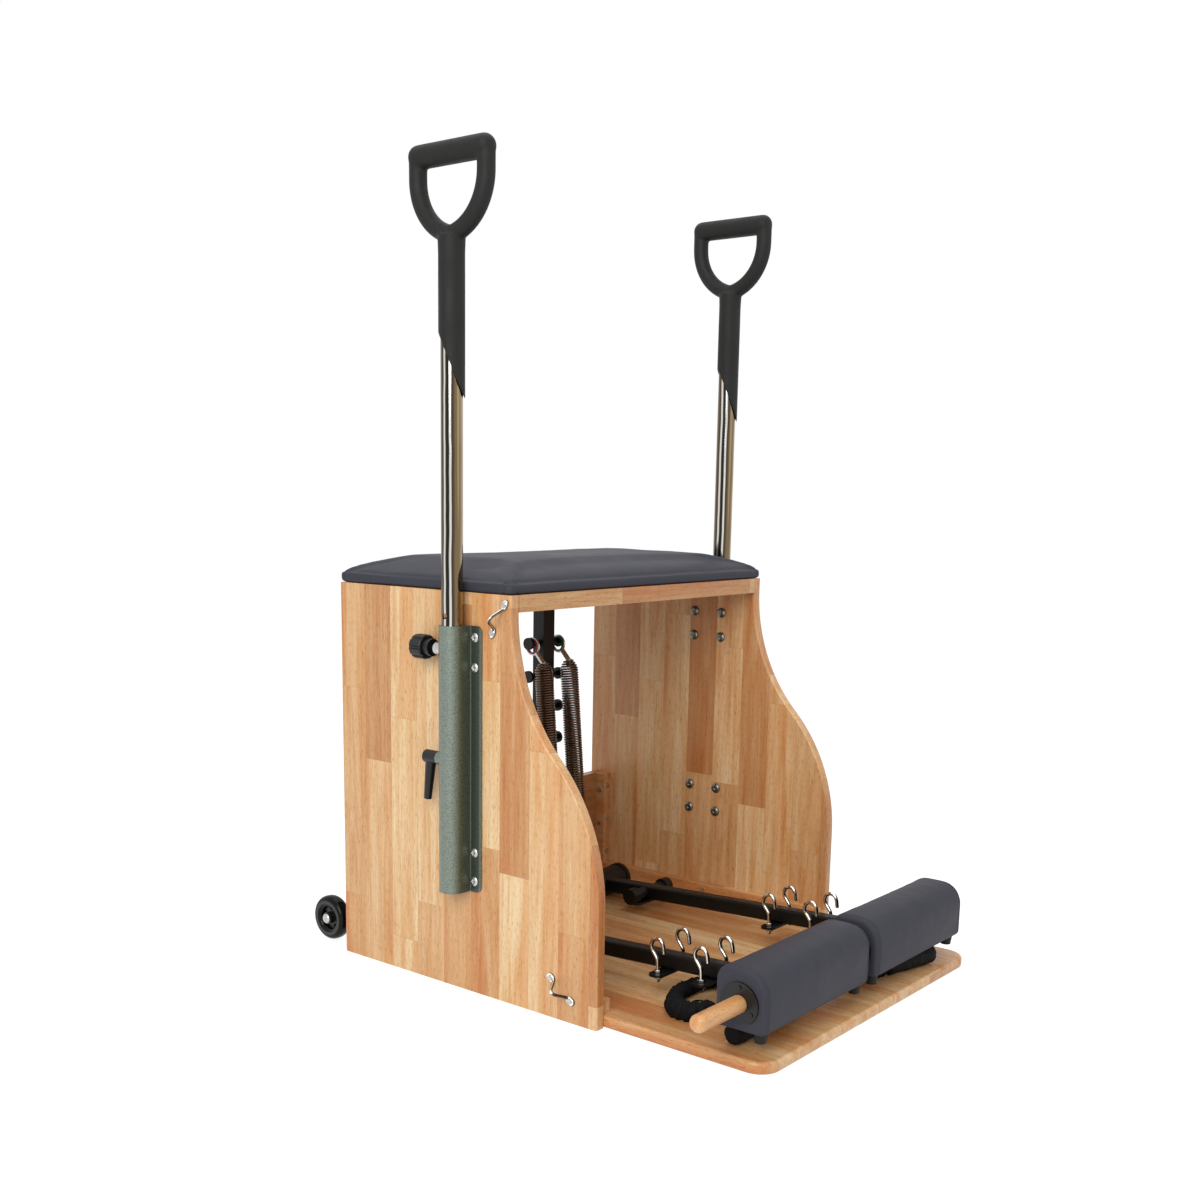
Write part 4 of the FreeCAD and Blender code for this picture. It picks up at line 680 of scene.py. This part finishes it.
PAD_ENDS = ((0.0, 0.0026), (0.0006, 0.0012), (0.0016, 0.0004), (0.003, 0.0))  # along the pad, and inset
PAD_START_INSET = 0.0018
PAD_FRONT_RADIUS = 0.033
PAD_REAR_RADIUS = 0.018
PAD_CORNER_STEPS = 12
PAD_FOOT = 0.003  # size of the lower edges' slant
PAD_FLOOR_LIFT = 0.0006
PAD_VOXEL = 0.0032
PAD_PUFF = 0.0034
PAD_HELD_HEIGHT = 0.003
PAD_HELD_END = 0.006
PAD_SEAMS = ((0.0085, 0.0015, 0.0016), (0.0035, 0.0013, 0.0008))  # place from the end, half width and depth
PAD_SEAM_FACING = 0.7  # the end faces have no seams
PAD_SEAM_HEIGHT = 0.002
PAD_WRINKLES = ((24, 0.0006, (0, 0, 0)), (60, 0.00025, (2, 9, 4)))
PAD_CALM = 0.004  # without wrinkles near the ends and the floor
PAD_FADE = 0.01
DOWEL_RISE = 0.0395
GUIDE_RADIUS = 0.0163
SOCKET_DEPTH = 0.105
BORE_LEAD = 0.01


def pad_corner(x, y, z, reach, start):
    """Quarter of a circle across the pad, from an angle on towards the rear and down."""
    points = []
    for step in range(PAD_CORNER_STEPS + 1):
        angle = math.radians(start - 90 * step / PAD_CORNER_STEPS)
        points.append(Vector((x, y + reach * math.cos(angle), z + reach * math.sin(angle))))
    return points


def pad_ring(low, high, x, inset):
    front, rear, top, bottom = low.y + inset, high.y - inset, high.z - inset, low.z + PAD_FLOOR_LIFT
    points = [Vector((x, rear - PAD_FOOT, bottom)), Vector((x, front + PAD_FOOT, bottom)),
              Vector((x, front, bottom + PAD_FOOT))]
    points += pad_corner(x, front + PAD_FRONT_RADIUS, top - PAD_FRONT_RADIUS, PAD_FRONT_RADIUS, 180)
    points += pad_corner(x, rear - PAD_REAR_RADIUS, top - PAD_REAR_RADIUS, PAD_REAR_RADIUS, 90)
    points.append(Vector((x, rear, bottom + PAD_FOOT)))
    return points


def faded(distance):
    return min(1.0, max(0.0, distance - PAD_CALM) / PAD_FADE)


def make_pad(side):
    node = side + "_pedal_pad"
    low, high = box_corners(node)
    ends = [(low.x + along, inset) for along, inset in PAD_ENDS]
    ends += [(high.x - along, inset) for along, inset in reversed(PAD_ENDS)]
    rings = [pad_ring(low, high, x, PAD_START_INSET + inset) for x, inset in ends]
    mesh = mesh_of(node + "_leather", lambda work: add_rings(work, rings))

    def from_end(place):
        return min(place.x - low.x, high.x - place.x)

    def held(place):
        return place.z < low.z + PAD_HELD_HEIGHT or from_end(place) < PAD_HELD_END

    def push(place, normal):
        end = from_end(place)
        level = place.z - low.z
        amount = 0.0
        if abs(normal.x) < PAD_SEAM_FACING and level > PAD_SEAM_HEIGHT:
            amount += sum(groove(end, *seam) for seam in PAD_SEAMS)
        return amount + wrinkles(place, PAD_WRINKLES) * faded(end) * faded(level)

    mesh = displaced(leather_cover(mesh, PAD_VOXEL, held, PAD_PUFF), push)
    inner, outer = (low.x, high.x) if side == "right" else (high.x, low.x)
    way = 1 if outer > inner else -1
    start = Vector((inner - way * BORE_LEAD, (low.y + high.y) / 2, low.z + DOWEL_RISE))
    depth = SOCKET_DEPTH if side == "right" else abs(outer - inner) + 2 * BORE_LEAD
    mesh = bored(mesh, start, start + ALONG_X * way * depth, GUIDE_RADIUS)
    made = piece(node + "_leather", mesh, side + "_pedal", "leather", node)


# Grips

GRIP_VOXEL = 0.0016
GRIP_ROUNDS = 2
GRIP_LOOP_ROUNDS = 8
GRIP_LOOP_DROP = 0.175  # the loop and its neck, down from the top


def make_grip(side):
    """Moulded rubber: the bar, the loop and the sleeve run into each other."""
    node = side + "_grip"
    top = box_corners(node)[1].z
    mesh = relaxed(remeshed(nodes[node].data.copy(), GRIP_VOXEL), GRIP_ROUNDS)
    mesh = relaxed(mesh, GRIP_LOOP_ROUNDS, lambda place: place.z > top - GRIP_LOOP_DROP)
    piece(node + "_moulding", mesh, side + "_handle_pole", "grip_rubber", node)


# Bolts of the sleeve brackets and their barrel nuts

BOLT_RADIUS = 0.003
BOLT_HEAD_HEIGHT = 0.0035
BOLT_SHANK = 0.020
NUT_HEAD_HEIGHT = 0.0055
NUT_STUB = 0.001
HEAD_SIDES = 40
HEAD_EDGE = (0.97, 0.0004)  # share of the radius at the seat, and how high the full radius starts
HEAD_RIM = 0.22  # share of the height below the dome
DOME_STEPS = 15
DOME_FULLNESS = 0.9
RECESS_REACH = 0.0028  # the cross recess: half length, half width and depth
RECESS_SLOT = 0.0008
RECESS_DEPTH = 0.0016
RECESS_START = 0.5  # share of the head's height
RECESS_EDGE = 1.25
RECESS_STEEPNESS = 4


def recess(u, v):
    upright = max(abs(u) / RECESS_REACH, abs(v) / RECESS_SLOT)
    level = max(abs(v) / RECESS_REACH, abs(u) / RECESS_SLOT)
    return RECESS_DEPTH * min(1.0, max(0.0, RECESS_EDGE - min(upright, level)) * RECESS_STEEPNESS)


def add_domed_bolt(work, seat, way, head_radius, head_height, tail):
    """Pan head with a cross recess on a plain shank; way points out of the panel."""
    other = way.cross(ALONG_Y)
    profile = [(BOLT_RADIUS, -tail), (BOLT_RADIUS, 0.0), (head_radius * HEAD_EDGE[0], 0.0),
               (head_radius, HEAD_EDGE[1]), (head_radius, head_height * HEAD_RIM)]
    for step in range(1, DOME_STEPS):
        angle = math.pi / 2 * step / DOME_STEPS
        profile.append((head_radius * math.cos(angle) ** DOME_FULLNESS,
                        head_height * (HEAD_RIM + (1 - HEAD_RIM) * math.sin(angle))))

    def place_at(layer, angle):
        radius, height = layer
        u, v = radius * math.cos(angle), radius * math.sin(angle)
        sunk = recess(u, v) if height > head_height * RECESS_START else 0.0
        return seat + way * (height - sunk) + ALONG_Y * u + other * v
    add_round(work, profile, HEAD_SIDES, place_at)


def make_domed(node, way, head_height, tail, inset):
    """Domed heads in the places of a node's own; way is 1 where they point out of the chair, or -1."""
    def build(work):
        for low, high in islands(nodes[node].data):
            side = 1 if high.x > 0 else -1
            seat = (low + high) / 2
            seat.x = (high.x if side > 0 else low.x) - side * inset
            add_domed_bolt(work, seat, ALONG_X * side * way, (high.y - low.y) / 2, head_height, tail)
    return piece(node + "_domed", mesh_of(node + "_domed", build), "frame", "bright_steel", node)


def make_bracket_bolts():
    make_domed("bracket_bolts", 1, BOLT_HEAD_HEIGHT, BOLT_SHANK, BOLT_HEAD_HEIGHT)
    nuts = make_domed("bracket_nuts", -1, NUT_HEAD_HEIGHT, NUT_STUB, 0.0)
    nuts.data.materials[0] = FINISHES["nut_steel"]


# Pad eyes on the panels

EYE_FACE = 0.328  # the panels' outer faces
EYE_SCREWS = (((0.049, 0.596), (0.073, 0.554)), ((-0.046, 0.061), (-0.0835, 0.034)))  # places in Y and Z
EYE_STAND = 0.0212
EYE_RISE_POWER = 1.8
EYE_WIRE_RADIUS = 0.0024
EYE_WIRE_FOOT = 0.0012  # height of the wire's middle at its ends
EYE_WIRE_START = 0.6  # share of a lug's reach
EYE_WIRE_STEPS = 40
EYE_WIRE_SIDES = 14
EYE_LUG_REACH = 0.0078
EYE_LUG_HALF_WIDTH = 0.0056
EYE_LUG_FULLNESS = 0.75
EYE_LUG_PROFILE = ((0.0, 0.97), (0.0006, 1.0), (0.0022, 1.0), (0.0028, 0.95), (0.003, 0.86))
EYE_LUG_SIDES = 40


def add_eye_lug(work, place, along, out):
    across = out.cross(along)

    def place_at(layer, angle):
        height, share = layer
        u = eased(math.cos(angle), EYE_LUG_FULLNESS) * EYE_LUG_REACH * share
        v = eased(math.sin(angle), EYE_LUG_FULLNESS) * EYE_LUG_HALF_WIDTH * share
        return place + out * height + along * u + across * v
    add_round(work, EYE_LUG_PROFILE, EYE_LUG_SIDES, place_at)


def add_pad_eye(work, first, second, out):
    """Bent wire that rises from two flat lugs to a rounded top."""
    along = (second - first).normalized()
    for place in (first, second):
        add_eye_lug(work, place, along, out)
    start = first + along * EYE_LUG_REACH * EYE_WIRE_START
    end = second - along * EYE_LUG_REACH * EYE_WIRE_START
    points = []
    for step in range(EYE_WIRE_STEPS + 1):
        share = step / EYE_WIRE_STEPS
        rise = (EYE_STAND - EYE_WIRE_FOOT) * math.sin(math.pi * share) ** EYE_RISE_POWER
        points.append(start.lerp(end, share) + out * (EYE_WIRE_FOOT + rise))
    add_tube(work, points, EYE_WIRE_SIDES, lambda index, angle: EYE_WIRE_RADIUS)


def make_pad_eyes():
    def build(work):
        for way in (-1, 1):
            for screws in EYE_SCREWS:
                first, second = (Vector((way * EYE_FACE, y, z)) for y, z in screws)
                add_pad_eye(work, first, second, ALONG_X * way)
    piece("pad_eyes_bent", mesh_of("pad_eyes_bent", build), "frame", "chrome", "pad_eyes")


# Transport wheels

TYRE_MIDDLE = 0.0275  # radius at the middle of the tyre's section
TYRE_FULLNESS = 0.8
TYRE_STEPS = 48
WHEEL_HEAD_RADIUS = 0.0084
WHEEL_HEAD_HEIGHT = 0.0048
WHEEL_AXLE_RADIUS = 0.0049


def make_tyre(side):
    node = side + "_wheel_tyre"
    low, high = box_corners(node)
    half = (high.x - low.x) / 2
    rise = (high.z - low.z) / 2 - TYRE_MIDDLE
    profile = []
    for step in range(TYRE_STEPS):
        angle = 2 * math.pi * step / TYRE_STEPS
        profile.append((half * eased(math.cos(angle), TYRE_FULLNESS),
                        TYRE_MIDDLE + rise * eased(math.sin(angle), TYRE_FULLNESS)))
    mesh = mesh_of(node + "_round", lambda work: add_turned(work, (low + high) / 2, profile, looped=True))
    piece(node + "_round", mesh, side + "_wheel", "wheel_rubber", node)


def make_wheel_axles():
    """Bolts with a wide domed head."""
    def build(work):
        for low, high in islands(nodes["wheel_axles"].data):
            way = 1 if high.x > 0 else -1
            outer, tail = (high.x, low.x) if way > 0 else (low.x, high.x)
            centre = (low + high) / 2
            centre.x = 0
            seat = outer - way * WHEEL_HEAD_HEIGHT
            add_turned(work, centre, ((tail, WHEEL_AXLE_RADIUS), (seat, WHEEL_AXLE_RADIUS)))
            add_domed_bolt(work, centre + ALONG_X * seat, ALONG_X * way, WHEEL_HEAD_RADIUS, WHEEL_HEAD_HEIGHT,
                           NUT_STUB)
    piece("wheel_axles_bolts", mesh_of("wheel_axles_bolts", build), "frame", "bright_steel", "wheel_axles")


# Hook bolts on the pedal arms

HOOK_WIRE_RADIUS = 0.003
HOOK_WIRE_SIDES = 16
HOOK_TIP = 0.72  # share of the radius at the wire's ends
HOOK_LEAST_HEIGHT = 0.03  # of a hook's box; nuts are lower
HOOK_SHAPE = (  # rearward and upward from the plate, from the thread to the tip
    (0.0, -0.014), (0.0, 0.0), (0.0, 0.012), (0.0006, 0.020), (0.0045, 0.0268), (0.0092, 0.0334),
    (0.011, 0.041), (0.0078, 0.0488), (0.0, 0.052), (-0.0078, 0.0488), (-0.011, 0.041), (-0.0116, 0.035),
    (-0.0124, 0.030))
HOOK_STEPS = 6
HOOK_NUT_CORNER = 0.0058
HOOK_NUT_HEIGHT = 0.005
HOOK_NUT_PROFILE = ((0.0, 0.9), (0.12, 1.0), (0.88, 1.0), (1.0, 0.9))  # shares of the height and the reach


def smooth_line(points, steps):
    """Points along a smooth curve through the given ones."""
    padded = [points[0] * 2 - points[1]] + list(points) + [points[-1] * 2 - points[-2]]
    line = []
    for before, start, end, after in zip(padded, padded[1:], padded[2:], padded[3:]):
        slope = end - before
        bend = before * 2 - start * 5 + end * 4 - after
        twist = start * 3 - before - end * 3 + after
        for step in range(steps):
            share = step / steps
            line.append((start * 2 + slope * share + bend * share ** 2 + twist * share ** 3) / 2)
    line.append(points[-1])
    return line


def add_hex_nut(work, foot, up):
    other = up.cross(ALONG_X)

    def place_at(layer, angle):
        height, share = layer
        reach = (ALONG_X * math.cos(angle) + other * math.sin(angle)) * HOOK_NUT_CORNER * share
        return foot + up * HOOK_NUT_HEIGHT * height + reach
    add_round(work, HOOK_NUT_PROFILE, 6, place_at)


def make_hooks(side):
    """Wire hooks, each between the two nuts that hold it on its plate."""
    node = side + "_hook_bolts"
    nuts = []
    for low, high in islands(nodes[node].data):
        if high.z - low.z < HOOK_LEAST_HEIGHT:
            nuts.append((low + high) / 2)
    hooks = [(upper, lower, (upper - lower).normalized()) for upper in nuts for lower in nuts
             if upper.z > lower.z and (upper - lower).to_2d().length < HOOK_NUT_HEIGHT]
    wire_faces = []

    def wire_radius(index, angle):
        last = (len(HOOK_SHAPE) - 1) * HOOK_STEPS
        return HOOK_WIRE_RADIUS * (HOOK_TIP if index in (0, last) else 1.0)

    def build(work):
        for upper, lower, up in hooks:
            rear = up.cross(ALONG_X)
            plate = upper - up * HOOK_NUT_HEIGHT / 2
            points = [plate + rear * back + up * rise for back, rise in HOOK_SHAPE]
            add_tube(work, smooth_line(points, HOOK_STEPS), HOOK_WIRE_SIDES, wire_radius)
        wire_faces.append(len(work.faces))
        for upper, lower, up in hooks:
            for middle in (upper, lower):
                add_hex_nut(work, middle - up * HOOK_NUT_HEIGHT / 2, up)

    mesh = mesh_of(node + "_bent", build)
    for polygon in mesh.polygons[wire_faces[0]:]:
        polygon.use_smooth = False
    piece(node + "_bent", mesh, side + "_pedal", "chrome", node)


# Springs

SPRING_TOP = Vector((0, 0.332, 0.452))
KEEPER_PEG = Vector((0, 0.299, 0.0805))
EYE_REACH = 0.050
SPRING_PLACES = {"left_springs": (-0.150, -0.080), "right_springs": (0.080, 0.150)}
SPRING_TURNS = 72
SPRING_TAPER_TURNS = 4.0
SPRING_RADIUS = 0.015
SPRING_END_RADIUS = 0.007
SPRING_WIRE_RADIUS = 0.0019
SPRING_WIRE_SIDES = 7
POINTS_PER_TURN = 14


def spring_points(x):
    run = KEEPER_PEG - SPRING_TOP
    axis = run.normalized()
    length = run.length - EYE_REACH
    start = SPRING_TOP + ALONG_X * x
    other = axis.cross(ALONG_X)
    points = []
    for index in range(SPRING_TURNS * POINTS_PER_TURN + 1):
        turn = index / POINTS_PER_TURN
        near_end = min(turn, SPRING_TURNS - turn) / SPRING_TAPER_TURNS
        radius = SPRING_RADIUS
        if near_end < 1:
            radius -= (SPRING_RADIUS - SPRING_END_RADIUS) * (1 - math.sin(near_end * math.pi / 2))
        angle = 2 * math.pi * turn
        out = ALONG_X * math.cos(angle) + other * math.sin(angle)
        points.append(start + axis * (length * turn / SPRING_TURNS) + out * radius)
    return points


def make_springs():
    for node, places in SPRING_PLACES.items():
        def build(work):
            for x in places:
                add_tube(work, spring_points(x), SPRING_WIRE_SIDES, lambda index, angle: SPRING_WIRE_RADIUS)
        piece(node + "_coils", mesh_of(node + "_coils", build), "frame", "spring_steel", node)


# Cords and their handles

CORD_RADIUS = 0.0115
CORD_LEAST = 0.0084
CORD_MOST = 0.0162
CORD_SIDES = 36
CORD_HEIGHT = 0.0298
CORD_STEP = 0.0012
CORD_MEAN = 0.93  # shares of the radius: the skin between gathers, and the heights on it
GATHER_HEIGHT = 0.11
LOBE_HEIGHT = 0.18
CREASE_HEIGHT = 0.22
FOLD_SWELL = 0.42  # where the sleeve bunches up
FOLD_REACH = 0.06
END_SHARE = 0.7  # where the sleeve is sewn down
END_REACH = 0.03
GATHER_PITCH = 0.0085
GATHER_WANDER = 2.2
GATHER_NOISE = (1.1, 60)  # scales round and along the cord
LOBE_NOISE = (1.7, 130)
CREASE_NOISE = (2.6, 300)
LEFT_FOLD = 0.88  # share of the route where the fold lies
RIGHT_FOLD = 0.3
LEFT_CORD_POINTS = (
    (-0.166, -0.330), (-0.124, -0.330), (-0.0876, -0.309), (-0.0666, -0.2726), (-0.0666, -0.2306),
    (-0.0876, -0.1942), (-0.124, -0.1732), (-0.165, -0.171), (-0.193, -0.175), (-0.216, -0.187),
    (-0.2413, -0.2069), (-0.2432, -0.2283), (-0.2294, -0.2448), (-0.2055, -0.2469))
RIGHT_CORD_POINTS = (
    (0.1145, -0.3520), (0.0734, -0.3433), (0.0422, -0.3152), (0.0292, -0.2753), (0.0379, -0.2342),
    (0.0660, -0.2030), (0.1059, -0.1900), (0.1479, -0.1883), (0.1905, -0.1920), (0.2265, -0.2110),
    (0.2505, -0.2420), (0.2585, -0.2740))
HANDLE_FLOOR = 0.0182  # just above the base
HANDLE_VOXEL = 0.0022
HANDLE_ROUNDS = 10
HANDLE_WRINKLES = ((75, 0.0012, (0, 0, 0)), (190, 0.0008, (4, 1, 7)))


def route_line(name, points):
    """Points along a smooth line through the cord's route."""
    curve = bpy.data.curves.new(name, "CURVE")
    curve.dimensions = "3D"
    curve.resolution_u = 24
    spline = curve.splines.new("NURBS")
    spline.points.add(len(points) - 1)
    for target, (x, y) in zip(spline.points, points):
        target.co = (x, y, CORD_HEIGHT, 1)
    spline.order_u = 3
    spline.use_endpoint_u = True
    holder = bpy.data.objects.new(name, curve)
    mesh = bpy.data.meshes.new_from_object(holder)
    line = []
    for vertex in mesh.vertices:
        if not line or (vertex.co - line[-1]).length > CORD_STEP / 4:
            line.append(vertex.co.copy())
    bpy.data.objects.remove(holder)
    bpy.data.meshes.remove(mesh)
    return line


def evenly(points, step):
    """Points a fixed step apart along a polyline."""
    spaced = [points[0]]
    carried = 0.0
    for before, after in zip(points, points[1:]):
        length = (after - before).length
        while carried + length >= step:
            share = (step - carried) / length
            before = before.lerp(after, share)
            spaced.append(before)
            length = (after - before).length
            carried = 0.0
        carried += length
    if (spaced[-1] - points[-1]).length <= step / 2:
        spaced.pop()
    return spaced + [points[-1]]


def skin_noise(round_place, along, scales, shift):
    around, lengthwise = scales
    return noise.noise(round_place * around + shift + Vector((0, 0, along * lengthwise)))


def make_cord(name, points, fold_share):
    """Gathered fabric sleeve: the tube's skin bunches into soft rings and lobes."""
    line = route_line(name + "_route", points)
    path = evenly(line, CORD_STEP)
    start_shift = Vector((points[0][0] * 100, 0, 0))
    fold_place = fold_share * len(path) * CORD_STEP

    def radius_at(index, angle):
        along = index * CORD_STEP
        round_place = Vector((math.cos(angle), math.sin(angle), 0))
        stray = GATHER_WANDER * skin_noise(round_place, along, GATHER_NOISE, start_shift)
        gather = math.sin(2 * math.pi * along / GATHER_PITCH + stray)
        lobes = skin_noise(round_place, along, LOBE_NOISE, Vector((3, 0, 0)))
        creases = abs(skin_noise(round_place, along, CREASE_NOISE, Vector((0, 5, 0))))
        end = min(index, len(path) - 1 - index) * CORD_STEP
        swell = min(1.0, END_SHARE + end / END_REACH)
        bunched = FOLD_SWELL * math.exp(-((along - fold_place) / FOLD_REACH) ** 2)
        skin = CORD_MEAN + bunched + GATHER_HEIGHT * gather + LOBE_HEIGHT * lobes - CREASE_HEIGHT * creases
        return min(max(CORD_RADIUS * swell * skin, CORD_LEAST), CORD_MOST)

    mesh = mesh_of(name, lambda work: add_tube(work, path, CORD_SIDES, radius_at))
    mesh = floored(mesh, CORD_HEIGHT - CORD_RADIUS)
    made = piece(name + "_sleeve", mesh, "frame", "cord_fabric", name)


def make_handles():
    """Padded handles in a knitted cover with rounded ends."""
    mesh = relaxed(remeshed(nodes["cord_handles"].data.copy(), HANDLE_VOXEL), HANDLE_ROUNDS)
    mesh = displaced(mesh, lambda place, normal: wrinkles(place, HANDLE_WRINKLES))
    mesh = floored(mesh, HANDLE_FLOOR)
    piece("cord_handles_knit", mesh, "frame", "handle_foam", "cord_handles")


# Stage

CAMERA_PLACE = Vector((-1.8093, -1.3181, 0.7621))
CAMERA_AZIMUTH = math.radians(-50.954)
CAMERA_ELEVATION = math.radians(10.417)
CAMERA_ROLL = math.radians(0.967)
IMAGE_SIZE = 1200.0
FOCAL_PIXELS = 1405.1
CENTRE_PIXELS = (593.0, 746.8)
SENSOR = 36.0
LIGHTS = (  # name, place, size and power
    ("key", (-3.3, -1.3, 2.3), 2.8, 92),
    ("fill", (1.2, -3.4, 1.8), 2.6, 14),
    ("top", (0.2, 0.4, 3.4), 3.0, 26))
LIGHT_AIM = Vector((0, 0, 0.4))
WORLD_LIGHT = 0.42  # the world's strength as a light; it is seen at 1
FLOOR_REACH = 9.0
FLOOR_LIT = (0.82, 0.82, 0.82, 1)  # the floor as it lights the part
FLOOR_SEEN = (0.42, 0.42, 0.42, 1)  # as it is seen, under its own glow
FLOOR_GLOW = 0.86


def make_camera():
    back = Vector((math.sin(CAMERA_AZIMUTH) * math.cos(CAMERA_ELEVATION),
                   -math.cos(CAMERA_AZIMUTH) * math.cos(CAMERA_ELEVATION), math.sin(CAMERA_ELEVATION)))
    level = (-back).cross(Vector((0, 0, 1))).normalized()
    up = level.cross(-back)
    right = level * math.cos(CAMERA_ROLL) + up * math.sin(CAMERA_ROLL)
    tilted_up = up * math.cos(CAMERA_ROLL) - level * math.sin(CAMERA_ROLL)
    data = bpy.data.cameras.new("camera")
    data.sensor_width = SENSOR
    data.lens = FOCAL_PIXELS / IMAGE_SIZE * SENSOR
    data.shift_x = (IMAGE_SIZE / 2 - CENTRE_PIXELS[0]) / IMAGE_SIZE
    data.shift_y = (CENTRE_PIXELS[1] - IMAGE_SIZE / 2) / IMAGE_SIZE
    camera = linked("camera", data)
    turn = Matrix((right, tilted_up, back)).transposed().to_4x4()
    camera.matrix_world = Matrix.Translation(CAMERA_PLACE) @ turn
    bpy.context.scene.camera = camera


def make_light(name, place, size, power):
    data = bpy.data.lights.new(name, "AREA")
    data.shape = "DISK"
    data.size = size
    data.energy = power
    light = linked(name, data)
    light.location = place
    light.rotation_euler = (LIGHT_AIM - Vector(place)).to_track_quat("-Z", "Y").to_euler()


def make_world():
    world = bpy.data.worlds.new("studio")
    world.use_nodes = True
    sky = Tree(world.node_tree)
    background = sky.tree.nodes["Background"].inputs
    sky.join(background["Color"], (1, 1, 1, 1))
    sky.join(background["Strength"], sky.span(sky.seen_rays(), WORLD_LIGHT, 1.0, 0.0, 1.0))
    bpy.context.scene.world = world


def make_floor():
    """White floor that takes a soft shadow; it lights the part as a plain pale floor does."""
    mesh = bpy.data.meshes.new("floor")
    corners = [(x * FLOOR_REACH, y * FLOOR_REACH, 0) for x, y in ((-1, -1), (1, -1), (1, 1), (-1, 1))]
    mesh.from_pydata(corners, [], [(0, 1, 2, 3)])
    floor = linked("floor", mesh)
    material = bpy.data.materials.new("floor")
    material.use_nodes = True
    paint = Tree(material.node_tree)
    paint.tree.nodes.remove(paint.tree.nodes["Principled BSDF"])
    lit = paint.node("BsdfDiffuse", {"Color": FLOOR_LIT}).outputs[0]
    pale = paint.node("BsdfDiffuse", {"Color": FLOOR_SEEN}).outputs[0]
    glow = paint.node("Emission", {"Strength": FLOOR_GLOW}).outputs[0]
    seen = paint.node("AddShader", {0: pale, 1: glow}).outputs[0]
    choice = paint.node("MixShader", {0: paint.seen_rays(), 1: lit, 2: seen}).outputs[0]
    paint.join(paint.tree.nodes["Material Output"].inputs["Surface"], choice)
    mesh.materials.append(material)


make_camera()
make_world()
make_floor()
for light in LIGHTS:
    make_light(*light)
bpy.context.scene.view_settings.view_transform = "Standard"

dress_frame()
make_springs()
make_bracket_bolts()
make_pad_eyes()
make_wheel_axles()
make_cushion()
for side in ("left", "right"):
    make_pad(side)
    make_grip(side)
    make_tyre(side)
    make_hooks(side)
make_handles()
make_cord("left_cord", LEFT_CORD_POINTS, LEFT_FOLD)
make_cord("right_cord", RIGHT_CORD_POINTS, RIGHT_FOLD)
